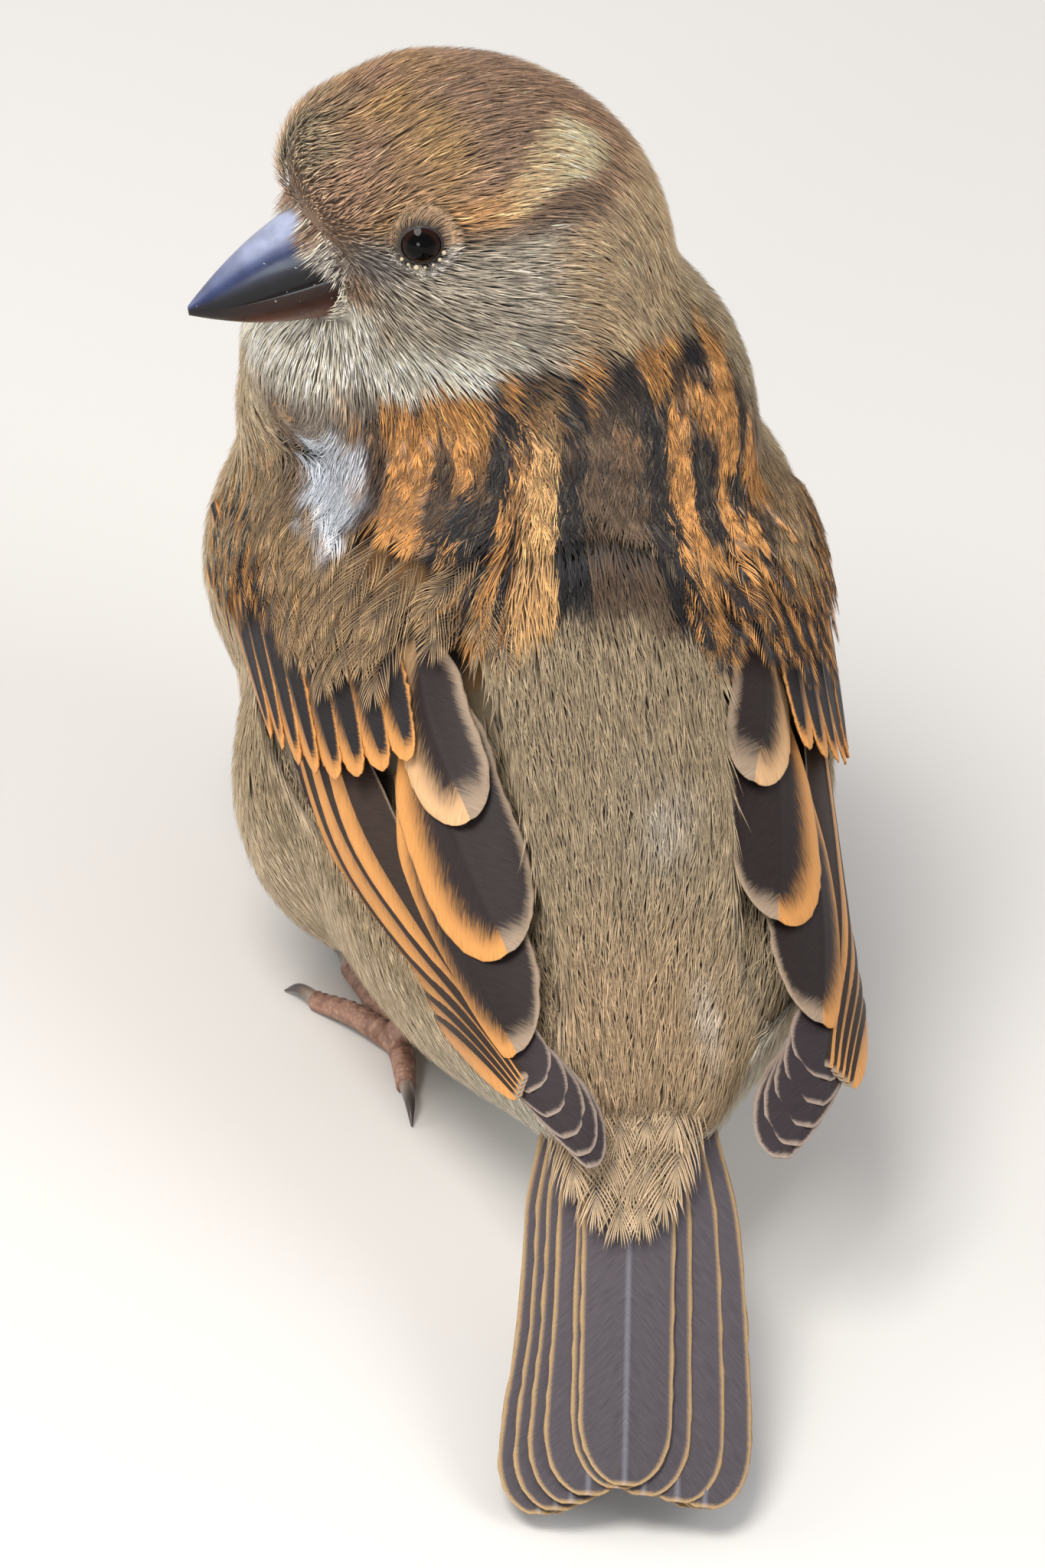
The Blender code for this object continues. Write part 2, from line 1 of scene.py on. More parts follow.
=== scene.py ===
"""Adult female house sparrow, life size, at rest with its head turned over its left side.

Lengths are millimetres in the frame that the solids were drawn in: x to the bird's left, y to its
tail, z up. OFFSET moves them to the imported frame, whose origin is the middle of the bird's box on the
floor.
"""

import math

import bmesh
import bpy
import numpy as np
from mathutils import Matrix, Vector
from mathutils.bvhtree import BVHTree


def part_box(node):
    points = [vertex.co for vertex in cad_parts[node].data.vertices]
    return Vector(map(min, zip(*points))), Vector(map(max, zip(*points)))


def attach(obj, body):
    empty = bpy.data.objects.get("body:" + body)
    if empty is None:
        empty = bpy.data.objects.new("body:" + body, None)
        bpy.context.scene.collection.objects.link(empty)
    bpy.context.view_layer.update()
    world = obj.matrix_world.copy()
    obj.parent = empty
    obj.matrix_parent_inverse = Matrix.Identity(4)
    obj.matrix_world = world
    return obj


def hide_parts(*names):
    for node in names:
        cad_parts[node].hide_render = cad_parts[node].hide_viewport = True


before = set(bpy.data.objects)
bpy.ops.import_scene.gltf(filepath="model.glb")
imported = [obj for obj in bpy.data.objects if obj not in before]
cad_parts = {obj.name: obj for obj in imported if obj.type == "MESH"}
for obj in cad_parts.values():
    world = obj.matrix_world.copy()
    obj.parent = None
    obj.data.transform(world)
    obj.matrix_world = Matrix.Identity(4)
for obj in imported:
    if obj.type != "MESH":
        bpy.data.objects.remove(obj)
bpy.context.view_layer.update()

# ---------------------------------------------------------------------------------------------
# Skin: the bird's own body under the feathers, thin skin with down on it, as one closed form a coat's
# depth inside the solids. It is evened from trunk, neck, head and wing arms, so no cut shows, and it
# carries the plumage's marks, darkened: partly the down's own duller tone, partly painted shade in
# the gaps between the barbs.
# ---------------------------------------------------------------------------------------------
# The head has a frame of its own: forward along the bill, left and up. The two eyes' boxes say where
# the imported head is, which gives the move from the drawing's frame to the imported one.
MM = 0.001
HEAD_CENTRE = np.array([9.0, -20.0, 70.0])
HEAD_TURN = math.radians(94.0)
HEAD_DIP = math.radians(12.0)
EYE_PLACE = np.array([5.9, 9.3, 5.2])
EYE_RADIUS = 2.25
FORWARD = np.array([math.sin(HEAD_TURN) * math.cos(HEAD_DIP),
                    -math.cos(HEAD_TURN) * math.cos(HEAD_DIP), -math.sin(HEAD_DIP)])
LEFT = np.array([math.cos(HEAD_TURN), math.sin(HEAD_TURN), 0.0])
UPWARD = np.cross(FORWARD, LEFT)
HEAD_AXES = np.array([FORWARD, LEFT, UPWARD])


def in_head(place):
    """Points of the head's frame, (..., 3), in the drawing's frame."""
    return HEAD_CENTRE + np.asarray(place, float) @ HEAD_AXES


def to_head(points):
    """Points of the drawing's frame in the head's frame."""
    return (points - HEAD_CENTRE) @ HEAD_AXES.T


def head_reach(points):
    """How far points are from the middle of the skull."""
    return np.linalg.norm(to_head(points) - (-1.0, 0.0, 0.0), axis=-1)


def middle_of(node):
    """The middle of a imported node's box, in millimetres."""
    low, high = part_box(node)
    return (np.array(low) + np.array(high)) / 2 / MM


OFFSET = (middle_of("eye_left") + middle_of("eye_right")) / 2 - in_head(EYE_PLACE * (1, 0, 1))


# The cover is the outer face that the plumage lies along: body and folded wings, closed over and
# softened. It isn't kept. A grid of distances from it answers for many points at once.
WING_SHEETS = ["primaries", "secondaries", "tertial_long", "tertial_middle", "tertial_short", "coverts"]
FLESH = ["trunk", "neck", "head", "wing_left_arm", "wing_right_arm"]
WINGS = [f"wing_{side}_{sheet}" for side in ("left", "right") for sheet in WING_SHEETS]
MERGE_DISTANCE = 0.002 * MM


def evened_mesh(nodes, swell, voxel, smoothing, sink=0.0):
    """One closed smooth mesh round the named solids, in the drawing's frame, sunk by that depth. It
    swells first, so that the cuts between the solids close."""
    joined = bmesh.new()
    for node in nodes:
        joined.from_mesh(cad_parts[node].data)
    bmesh.ops.remove_doubles(joined, verts=joined.verts, dist=MERGE_DISTANCE)
    bmesh.ops.translate(joined, verts=joined.verts, vec=Vector(-OFFSET * MM))
    mesh = bpy.data.meshes.new("evened")
    joined.to_mesh(mesh)
    joined.free()
    obj = bpy.data.objects.new("evened", mesh)
    bpy.context.scene.collection.objects.link(obj)
    push = obj.modifiers.new("close the cuts", "DISPLACE")
    push.mid_level = 0.0
    push.strength = swell * MM
    remesh = obj.modifiers.new("one skin", "REMESH")
    remesh.mode = "VOXEL"
    remesh.voxel_size = voxel * MM
    soften = obj.modifiers.new("soften", "SMOOTH")
    soften.factor = 0.5
    soften.iterations = smoothing
    sinking = obj.modifiers.new("sink", "DISPLACE")
    sinking.mid_level = 0.0
    sinking.strength = -(swell + sink) * MM
    graph = bpy.context.evaluated_depsgraph_get()
    made = bpy.data.meshes.new_from_object(obj.evaluated_get(graph))
    bpy.data.objects.remove(obj)
    return made


def mesh_arrays(mesh):
    """A mesh's points in millimetres and its triangles."""
    mesh.calc_loop_triangles()
    points = np.empty(len(mesh.vertices) * 3)
    mesh.vertices.foreach_get("co", points)
    triangles = np.empty(len(mesh.loop_triangles) * 3, int)
    mesh.loop_triangles.foreach_get("vertices", triangles)
    return points.reshape(-1, 3) / MM, triangles.reshape(-1, 3)


def outer_island(points, triangles):
    """The triangles of the largest connected part, which leaves out the shells of hollows inside."""
    group = np.arange(len(points))
    while True:
        lowest = group[triangles].min(axis=1)
        joined = group.copy()
        for corner in range(3):
            np.minimum.at(joined, triangles[:, corner], lowest)
        joined = joined[joined]
        if (joined == group).all():
            break
        group = joined
    names, counts = np.unique(group[triangles[:, 0]], return_counts=True)
    return triangles[group[triangles[:, 0]] == names[counts.argmax()]]


class DistanceField:
    """Signed distance from a closed surface on a grid, in a shell near it."""
    CELL = 1.0
    REACH = 4
    SLOPE_STEP = 0.6

    def __init__(self, points, triangles):
        tree = BVHTree.FromPolygons(points.tolist(), triangles.tolist())
        self.low = np.floor(points.min(axis=0)) - self.REACH - 2
        size = np.ceil((points.max(axis=0) - self.low) / self.CELL).astype(int) + self.REACH + 3
        near = np.zeros(size, bool)
        cells = np.round((points - self.low) / self.CELL).astype(int)
        near[tuple(cells.T)] = True
        for axis in range(3):
            spread = near.copy()
            for step in range(1, self.REACH + 1):
                spread |= np.roll(near, step, axis) | np.roll(near, -step, axis)
            near = spread
        self.values = np.full(size, float(self.REACH))
        for cell in np.argwhere(near):
            place = Vector(self.low + cell * self.CELL)
            found, normal, _, distance = tree.find_nearest(place)
            self.values[tuple(cell)] = math.copysign(distance, (place - found).dot(normal))

    def __call__(self, points):
        """The distance at points, blended from the grid's."""
        at = (points - self.low) / self.CELL
        at = np.clip(at, 0, np.array(self.values.shape) - 1.001)
        base = at.astype(int)
        part = at - base
        total = np.zeros(points.shape[:-1])
        for corner in np.ndindex(2, 2, 2):
            weight = np.prod(np.where(corner, part, 1 - part), axis=-1)
            place = base + corner
            total += weight * self.values[place[..., 0], place[..., 1], place[..., 2]]
        return total

    def normal(self, points):
        """The way in which the distance grows."""
        steps = np.eye(3) * self.SLOPE_STEP
        slope = np.stack([self(points + step) - self(points - step) for step in steps], axis=-1)
        return unit(slope)

    def settle(self, points):
        """The nearest points of the surface, and its normals there."""
        for _ in range(2):
            points = points - self.normal(points) * self(points)[..., None]
        return points, self.normal(points)


def unit(vectors):
    """The vectors at length 1."""
    return vectors / np.maximum(np.linalg.norm(vectors, axis=-1, keepdims=True), 1e-9)


cover_points, cover_faces = mesh_arrays(evened_mesh(FLESH + WINGS, swell=0.9, voxel=0.8, smoothing=10))
cover_faces = outer_island(cover_points, cover_faces)
cover = DistanceField(cover_points, cover_faces)


def ramp(value, low, high):
    """0 up to low, 1 from high on, and a smooth rise between."""
    t = np.clip((value - low) / (high - low), 0.0, 1.0)
    return t * t * (3 - 2 * t)


# Colours of the plumage, and the soft noise that mottles them.
def colour(text):
    """A colour written as sRGB hex, in linear light."""
    value = np.array([int(text[i:i + 2], 16) for i in (1, 3, 5)]) / 255
    return np.where(value <= 0.04045, value / 12.92, ((value + 0.055) / 1.055) ** 2.4)


NOISE_TABLE = 32


def soft_noise(points, size, seed):
    """Smooth values from -1 to 1 that change over about that many millimetres."""
    table = np.random.default_rng(seed).uniform(-1, 1, (NOISE_TABLE,) * 3)
    at = points / size
    base = np.floor(at).astype(int)
    part = at - base
    part = part * part * (3 - 2 * part)
    total = np.zeros(points.shape[:-1])
    for corner in np.ndindex(2, 2, 2):
        weight = np.prod(np.where(corner, part, 1 - part), axis=-1)
        place = (base + corner) % NOISE_TABLE
        total += weight * table[place[..., 0], place[..., 1], place[..., 2]]
    return total


def mix(first, second, share):
    """Blends colours, by a share for each point. Either may be one colour for all points."""
    return first + (second - first) * np.asarray(share)[..., None]


def band(value, low, high, soft):
    """1 between low and high, and 0 outside, with edges that soft."""
    return ramp(value, low - soft, low + soft) * (1 - ramp(value, high - soft, high + soft))


CROWN, NAPE, BROW_LINE = colour("#AA876B"), colour("#D3B48C"), colour("#E0BE90")
BROW_REAR, BEHIND_EYE, EYE_STRIPE = colour("#FBE0B2"), colour("#CE9C68"), colour("#6E543C")
CHEEK, THROAT, LORES = colour("#BEB09C"), colour("#FFF4DE"), colour("#9A9088")
BREAST, BELLY, FLANK = colour("#C4AA8A"), colour("#E6DBC6"), colour("#CFB99A")
RUMP, MANTLE_MIDDLE = colour("#AE997A"), colour("#65503E")
ORANGE, PALE_ORANGE, BLACK = colour("#C98F50"), colour("#D9AA70"), colour("#241F20")
GOLD, SHOWN_DOWN = colour("#B8925C"), colour("#D2C8BA")
RUSSET, PALE_RUMP, SHOULDER = colour("#9A6B3C"), colour("#BDA07C"), colour("#7C6450")
DOWN_WHITE = colour("#EAF0FA")

# The mantle's stripes spread from the same point as its feathers, at the base of the neck's left side.
# Each begins at a place on a scale that runs across the back, from the bird's left to its right. The
# scale is fanned on the left and straight past the middle.
FAN_POINT = (3.9, -9.5)
FAN_START = 5.2
FAN_START_DEGREES = 14.0
FAN_DEGREES = 10.0
STRIPES = [
    (13.0, ORANGE), (10.3, BLACK), (7.1, ORANGE), (6.15, BLACK), (5.85, RUSSET), (5.6, PALE_ORANGE),
    (2.9, BLACK), (0.6, MANTLE_MIDDLE), (-4.8, BLACK), (-7.3, ORANGE), (-9.8, BLACK),
    (-12.8, ORANGE), (-14.6, BLACK), (-17.6, RUSSET), (-18.6, CROWN),
]


def stripe_scale(points):
    """Where across the mantle's stripes a point lies."""
    x, y = points[..., 0], points[..., 1]
    straight = x * np.exp(-0.03 * (y + 5.0))
    turn = np.degrees(np.arctan2(x - FAN_POINT[0], np.maximum(y, -7.5) - FAN_POINT[1]))
    fanned = FAN_START + (turn - FAN_START_DEGREES) / FAN_DEGREES
    return np.where(fanned > FAN_START, fanned, np.minimum(straight, FAN_START))


def mantle_colour(points, scale=None):
    """Black feather centres beside orange outer webs."""
    across = stripe_scale(points) if scale is None else scale
    made = np.broadcast_to(CROWN, points.shape).copy()
    for edge, tint in STRIPES:
        made[across < edge] = tint
    x, y = points[..., 0], points[..., 1]
    streak = soft_noise(points * (1.0, 0.28, 0.28) + 0.25 * y[..., None], 1.25, 51)
    streaked = np.maximum(ramp(-y, 4.0, 9.0), ramp(np.abs(x), 8.5, 11.0) * ramp(-y, -6.0, 2.0))
    spots = np.where((streak < -0.10)[..., None], ORANGE, CROWN * 0.7)
    spots = np.where((streak > 0.16)[..., None], BLACK, spots)
    return mix(made, spots, 0.88 * streaked * (np.abs(streak) > 0.08))


def neckline(points):
    """How high the mantle reaches up the neck."""
    return np.interp(points[..., 0], (-9.0, 0.0, 7.0, 16.5), (63.8, 63.3, 61.5, 57.5))


def head_colour(q):
    """The face's marks in the head's frame: pale brow, dark eye stripe, grey cheek, pale throat."""
    f, a, u = q[..., 0], np.abs(q[..., 1]), q[..., 2]
    made = np.broadcast_to(CROWN, q.shape).copy()
    made = mix(made, GOLD, band(f, 1.0, 10.5, 2.5) * (0.45 + 0.55 * soft_noise(q, 3.0, 7)))
    made = mix(made, NAPE, ramp(-f, 3, 13) * ramp(-u, -9, 2))
    cheek = ramp(-u, -6.5, -3.5) * ramp(a, 5.5, 8.5) * (1 - ramp(-f, 3.0, 8.5))
    made = mix(made, CHEEK, cheek)
    made = mix(made, THROAT, 0.45 * cheek * ramp(-u, 6.5, 10.5))
    made = mix(made, NAPE, ramp(-f, 2.0, 8.0) * ramp(-u, -5.5, -2.0))
    chin = ramp(-u, 1.0, 3.5) * ramp(f, 9.0, 11.0)
    throat = np.maximum(ramp(-u, 3.5, 8.0) * ramp(f, -3.0, 4.0), chin)
    made = mix(made, THROAT, throat)
    stripe = band(u, 4.6, 7.0, 0.7) * band(f, -10.0, 3.4, 1.2) * ramp(a, 5.0, 7.5)
    made = mix(made, EYE_STRIPE, stripe * 0.5)
    line = 7.1 + 2.0 * ramp(-f, 0.0, 6.0)
    half = 0.9 + 1.0 * ramp(-f, -4.0, 6.0)
    brow = band(u, line - half, line + half, 0.45) * band(f, -11.5, 5.5, 1.4) * ramp(a, 3.0, 5.0)
    tint = mix(mix(BEHIND_EYE, BROW_LINE, ramp(-f, -1.0, 4.0)), BROW_REAR, ramp(-f, 4.0, 8.0))
    made = made + (tint - made) * brow[..., None]
    lores = np.exp(-(((f - 9.6) / 1.9) ** 2 + ((u - 2.6) / 2.0) ** 2)) * ramp(a, 3.0, 5.0)
    return mix(made, LORES, np.clip(lores * 1.3, 0, 1))


def shoulder_down(points):
    """1 where the left shoulder's feathers part over its white down."""
    far = np.linalg.norm((points - (19.2, -15.0, 47.4)) / (3.4, 6.4, 5.6), axis=-1)
    return 1 - ramp(far + 0.45 * soft_noise(points * (1, 0.4, 1), 1.1, 58), 0.45, 1.1)


def coat_colour(points, normals):
    """The plumage's colour on the body and head, the same for the skin and for the feathers over it."""
    x, y, z = points[..., 0], points[..., 1], points[..., 2]
    q = to_head(points)
    noise = soft_noise(points, 2.4, 5)
    made = np.broadcast_to(RUMP, points.shape).copy()
    above = ramp(normals[..., 2], -0.25, 0.15)
    made = mix(mix(BELLY, FLANK, ramp(np.abs(x), 8, 18)), made, above)
    made = mix(made, PALE_RUMP, above * ramp(y, 20, 34) * (1 - ramp(np.abs(x), 5, 12)))
    down = np.exp(-((x + 2.6) / 3.2) ** 2 - ((y - 19.0) / 3.4) ** 2)
    down = down + np.exp(-((x + 5.0) / 1.6) ** 2 - ((y - 33) / 3) ** 2)
    made = mix(made, SHOWN_DOWN, 0.5 * np.clip(down * (0.8 + noise), 0, 1) * above)
    breast = ramp(-normals[..., 1], 0.15, 0.6) * ramp(-y, 10, 20)
    made = mix(made, BREAST, breast)
    reach = head_reach(points) + 1.2 * soft_noise(points, 2.0, 6)
    reach = reach - 5.0 * ramp(q[..., 0], 0.0, 8.0) * ramp(-q[..., 2], 3.0, 8.0)
    on_head = 1 - ramp(reach, 17.0, 19.5)
    made = made + (head_colour(q) - made) * on_head[..., None]
    shoulder = ramp(np.abs(x + 1.0), 15, 19) * ramp(z, 33, 40) * ramp(y, -25, -20)
    shoulder = shoulder * ramp(neckline(points) - z, 0, 4)
    made = mix(made, SHOULDER * (1 + 0.15 * noise)[..., None], 0.8 * shoulder)
    fade = 0.4 + 1.6 * (1 - ramp(np.abs(x + 2.0), 2.5, 5.0))
    back = ramp(4.5 + 1.6 * noise - y, -fade, fade) * ramp(y + noise, -16.5, -13.5) * ramp(z, 36, 40)
    back = back * ramp(neckline(points) + noise - z, -0.7, 0.7) * ramp(-np.abs(x), -24, -20)
    made = made + (mantle_colour(points) - made) * back[..., None]
    return mix(made, DOWN_WHITE, 0.9 * shoulder_down(points) * ramp(x, 16.2, 17.4))


# Materials. Every node is added by one function, and each material is named for what it is.
def node(tree, kind, inputs=None, **settings):
    """Adds a node. inputs maps a socket's name or number to a value, or to a node or socket to link."""
    made = tree.nodes.new(kind)
    for key, value in settings.items():
        setattr(made, key, value)
    for key, value in (inputs or {}).items():
        socket = made.inputs[key]
        if isinstance(value, bpy.types.Node):
            tree.links.new(value.outputs[0], socket)
        elif isinstance(value, bpy.types.NodeSocket):
            tree.links.new(value, socket)
        else:
            socket.default_value = value
    return made


def new_material(name, **values):
    """A material with a Principled shader whose own sockets hold the given values."""
    material = bpy.data.materials.new(name)
    material.use_nodes = True
    tree = material.node_tree
    shader = tree.nodes["Principled BSDF"]
    for key, value in values.items():
        shader.inputs[key.replace("_", " ")].default_value = value
    return material, tree, shader


def barb_material(name, roughness):
    """Feather keratin in loose barbs: matt, with a faint sheen from its barbules. Its own dye is
    mottled twice: waves to the millimetre are 2.5, coarser than real barbules, which are too fine to
    show, and 0.45, about a feather's width."""
    material, tree, shader = new_material(name, Roughness=roughness, Specular_IOR_Level=0.25,
                                          Sheen_Weight=0.12, Sheen_Roughness=0.5)
    dye = node(tree, "ShaderNodeAttribute", attribute_name="Dye")
    place = node(tree, "ShaderNodeTexCoord").outputs["Object"]
    fine = node(tree, "ShaderNodeTexNoise", {"Vector": place, "Scale": 2.5 / MM, "Detail": 3.0})
    wide = node(tree, "ShaderNodeTexNoise", {"Vector": place, "Scale": 0.45 / MM, "Detail": 2.0})
    both = node(tree, "ShaderNodeMath", {0: fine.outputs["Fac"], 1: wide.outputs["Fac"]}, operation="ADD")
    level = node(tree, "ShaderNodeMapRange", {"Value": both, "From Min": 0.6, "From Max": 1.4,
                                              "To Min": 0.8, "To Max": 1.2})
    shade = node(tree, "ShaderNodeVectorMath", {0: dye.outputs["Color"], "Scale": level}, operation="SCALE")
    tree.links.new(shade.outputs[0], shader.inputs["Base Color"])
    return material


body_barbs = barb_material("feather_barb", 0.7)
skin_material = barb_material("feather_base_down", 0.9)      # down is duller than barbs

# Where each feather's colour is kept in the exported map: the angle round the bird's bent spine and
# the place along it.
SPINE = np.array([(1.0, 44.0, 15.0), (0.2, 27.0, 19.5), (0.0, 5.0, 26.0), (0.0, -18.0, 34.0),
                  (3.0, -26.0, 47.0), (6.0, -22.0, 60.0), (9.0, -20.0, 76.0)])
PAST_CROWN = 14.0


def unwrapped(points):
    """The place of each point on an unwrap round the spine, from 0 to 1 both ways."""
    side = np.array([1.0, 0.0, 0.0])
    lengths = np.linalg.norm(np.diff(SPINE, axis=0), axis=1)
    starts = np.concatenate([[0], np.cumsum(lengths)])
    best = np.full(len(points), np.inf)
    along = np.zeros(len(points))
    angle = np.zeros(len(points))
    for i, length in enumerate(lengths):
        ahead = (SPINE[i + 1] - SPINE[i]) / length
        t = np.clip((points - SPINE[i]) @ ahead, 0, length)
        arm = points - SPINE[i] - t[:, None] * ahead
        distance = np.linalg.norm(arm, axis=1)
        top = np.cross(side, ahead)
        nearer = distance < best
        best = np.where(nearer, distance, best)
        along = np.where(nearer, starts[i] + t, along)
        angle = np.where(nearer, np.arctan2(arm @ side, arm @ top), angle)
    over = (points - SPINE[-1]) @ ((SPINE[-1] - SPINE[-2]) / lengths[-1])
    along = along + np.clip(over, 0, None) * (along > starts[-1] - 0.01)
    around = angle / (2 * math.pi) + 0.5
    return np.stack([around, along / (starts[-1] + PAST_CROWN)], axis=-1) * 0.99 + 0.002


def per_point(mesh, name, colours):
    """Gives a mesh a colour for each point."""
    layer = mesh.color_attributes.new(name, "FLOAT_COLOR", "POINT")
    layer.data.foreach_set("color", np.c_[colours, np.ones(len(colours))].astype(np.float32).ravel())


def add_piece(name, points, triangles, material, dye, uv=None, more=None):
    """A mesh object from arrays in millimetres. dye is a colour for each point, uv a place in the
    exported map, and more maps the name of another attribute to a value, pair or colour for each."""
    mesh = bpy.data.meshes.new(name)
    mesh.vertices.add(len(points))
    mesh.vertices.foreach_set("co", ((points + OFFSET) * MM).astype(np.float32).ravel())
    mesh.loops.add(triangles.size)
    mesh.loops.foreach_set("vertex_index", triangles.astype(np.int32).ravel())
    mesh.polygons.add(len(triangles))
    mesh.polygons.foreach_set("loop_start", np.arange(0, triangles.size, 3, dtype=np.int32))
    mesh.update(calc_edges=True)
    mesh.shade_smooth()
    per_point(mesh, "Dye", dye)
    for key, values in (more or {}).items():
        values = np.asarray(values, np.float32)
        if values.ndim == 1:
            mesh.attributes.new(key, "FLOAT", "POINT").data.foreach_set("value", values)
        elif values.shape[1] == 3:
            per_point(mesh, key, values)
        else:
            layer = mesh.uv_layers.new(name=key)
            layer.data.foreach_set("uv", values[triangles.ravel()].ravel())
    if uv is not None:
        layer = mesh.uv_layers.new(name="OFBake")
        layer.data.foreach_set("uv", uv[triangles.ravel()].astype(np.float32).ravel())
    mesh.materials.append(material)
    obj = bpy.data.objects.new(name, mesh)
    bpy.context.scene.collection.objects.link(obj)
    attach(obj, "root")
    return obj


COAT_DEPTH = 1.0
# The skin's colour is the coat's times this: partly the down's own tone, partly painted shade between the
# barbs.
DOWN_TONE_AND_PAINTED_SHADE = 0.38
skin_mesh = evened_mesh(FLESH, swell=0.8, voxel=0.8, smoothing=8, sink=COAT_DEPTH)
skin_points, skin_faces = mesh_arrays(skin_mesh)
skin_faces = outer_island(skin_points, skin_faces)
used, skin_faces = np.unique(skin_faces, return_inverse=True)
skin_points, skin_faces = skin_points[used], skin_faces.reshape(-1, 3)
skin_dye = coat_colour(skin_points, cover.normal(skin_points)) * DOWN_TONE_AND_PAINTED_SHADE
skin = add_piece("skin", skin_points, skin_faces, skin_material, skin_dye, unwrapped(skin_points))
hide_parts(*FLESH)

# ---------------------------------------------------------------------------------------------
# Head feathers: short fine barbs of keratin, lying back from the bill and shortest on the face. Each is
# laid by its own root along the cover, and light barbs cross the dark gaps between them.
# ---------------------------------------------------------------------------------------------
# A barb has a patch of its own in the exported map, and a coat of too many is cut into numbered pieces.
PATCH = 0.003
MOST_TRIANGLES = 190_000
TRIES_FOR_EACH_CELL = 5
BARB_STATIONS = 3
HEAD_BARB_SPACING = 0.33
# How far from the middle of the skull the head's coat ends and the body's begins, so that they overlap.
HEAD_COAT_END, BODY_COAT_START = 27, 23


def tangent(vectors, normals):
    """The part of the vectors that lies in the surface."""
    return vectors - normals * np.sum(vectors * normals, axis=-1, keepdims=True)


def lie(points, normals):
    """The direction in which the plumage lies at points of the cover. On the head it runs back from
    the bill; on the body it runs back and down to the tail, so it hangs down the breast and trails
    along the belly."""
    q = to_head(points)
    from_bill = unit(points - in_head((13.5, 0.0, 1.5)))
    head_share = 1 - ramp(head_reach(points), 15.0, 25.0)
    head_share = head_share * (1 - 0.55 * ramp(-q[..., 0], 4.0, 14.0))
    x, y = points[..., 0], points[..., 1]
    fan = np.clip((x - FAN_POINT[0]) / (np.maximum(y, -7.0) - FAN_POINT[1]), 0, 1.3)
    slope = 0.03 * np.clip(x, -14, 6) + fan * ramp(x, 4.0, 8.0)
    slope = slope * ramp(-y, -9.0, 2.0) * ramp(points[..., 2], 34, 42)
    slope = slope + ramp(y, 14.0, 26.0) * np.clip(0.2 - 0.03 * x, -0.4, 0.6)
    back = np.stack([slope, np.ones(x.shape), np.full(x.shape, -0.45)], axis=-1)
    nape = np.array([0.0, 0.35, -0.9])
    turn = ramp(points[..., 2], 48.0, 60.0)[..., None]
    body = unit(back * (1 - turn) + nape * turn)
    way = from_bill * head_share[..., None] + body * (1.08 - head_share)[..., None]
    return unit(tangent(way, normals))


def comb(roots, lengths, stations, turn, low, high, rng, wander=0.06, field=cover):
    """Lines that start at the roots and follow the cover: (lines, ups). turn is each line's angle off
    the lie of the coat, and low and high its height over the cover at its root and its tip."""
    place, normal = field.settle(roots)
    spine, ups = [place], [normal]
    step = lengths / (stations - 1)
    angle = turn.copy()
    for _ in range(stations - 1):
        way = lie(place, normal)
        across = np.cross(way, normal)
        way = way * np.cos(angle)[:, None] + across * np.sin(angle)[:, None]
        place, normal = field.settle(place + way * step[:, None])
        spine.append(place)
        ups.append(normal)
        angle = angle + rng.normal(0, wander, len(roots))
    lines, ups = np.stack(spine, 1), np.stack(ups, 1)
    rise = np.linspace(0, 1, stations)[None, :, None]
    low, high = np.reshape(low, (-1, 1, 1)), np.reshape(high, (-1, 1, 1))
    return lines + ups * (low + (high - low) * rise), ups


def scattered(points, triangles, spacing, rng, keep):
    """Places spread evenly at random over the part of a mesh that keep allows, about that far apart."""
    corner = points[triangles]
    area = np.linalg.norm(np.cross(corner[:, 1] - corner[:, 0], corner[:, 2] - corner[:, 0]), axis=1) / 2
    area = area * keep(corner.mean(axis=1))
    count = int(area.sum() / spacing ** 2 * TRIES_FOR_EACH_CELL)
    chosen = rng.choice(len(triangles), count, p=area / area.sum())
    a, b = rng.random((2, count, 1))
    flip = a + b > 1
    a, b = np.where(flip, 1 - a, a), np.where(flip, 1 - b, b)
    corner = corner[chosen]
    made = corner[:, 0] + a * (corner[:, 1] - corner[:, 0]) + b * (corner[:, 2] - corner[:, 0])
    cells = np.floor(made / spacing + rng.random(3)).astype(int)
    _, first = np.unique(cells, axis=0, return_index=True)
    return made[np.sort(first)]


def barb_triangles(stations):
    """The faces of one barb: three points at each station but the last, which is the tip."""
    faces = [(0, 1, 2)]
    for k in range(stations - 2):
        left, right, ridge = 3 * k, 3 * k + 1, 3 * k + 2
        for a, b in ((left, right), (right, ridge), (ridge, left)):
            faces += [(a, a + 3, b + 3), (a, b + 3, b)]
    left = 3 * (stations - 2)
    tip = left + 3
    faces += [(left, tip, left + 1), (left + 1, tip, left + 2), (left + 2, tip, left)]
    return np.array(faces)


def barbs(lines, ups, half_widths, ridges):
    """Closed three-sided barbs along lines (N, K, 3): their points, triangles, and for each point its
    line, its station and its side from -1 to 1. half_widths and ridges are (N, K)."""
    count, stations = lines.shape[:2]
    ways = np.gradient(lines, axis=1)
    sides = unit(np.cross(ways, ups))
    wide = sides * half_widths[..., None]
    body = np.stack([lines - wide, lines + wide, lines + ups * ridges[..., None]], axis=2)[:, :-1]
    points = np.concatenate([body.reshape(count, -1, 3), lines[:, -1:]], axis=1)
    per = points.shape[1]
    triangles = barb_triangles(stations)[None] + (np.arange(count) * per)[:, None, None]
    station = np.append(np.repeat(np.arange(stations - 1), 3), stations - 1)
    corner = np.append(np.tile([-1.0, 1.0, 0.0], stations - 1), 0.0)
    line = np.repeat(np.arange(count), per)
    return (points.reshape(-1, 3), triangles.reshape(-1, 3), line,
            np.tile(station, count), np.tile(corner, count))


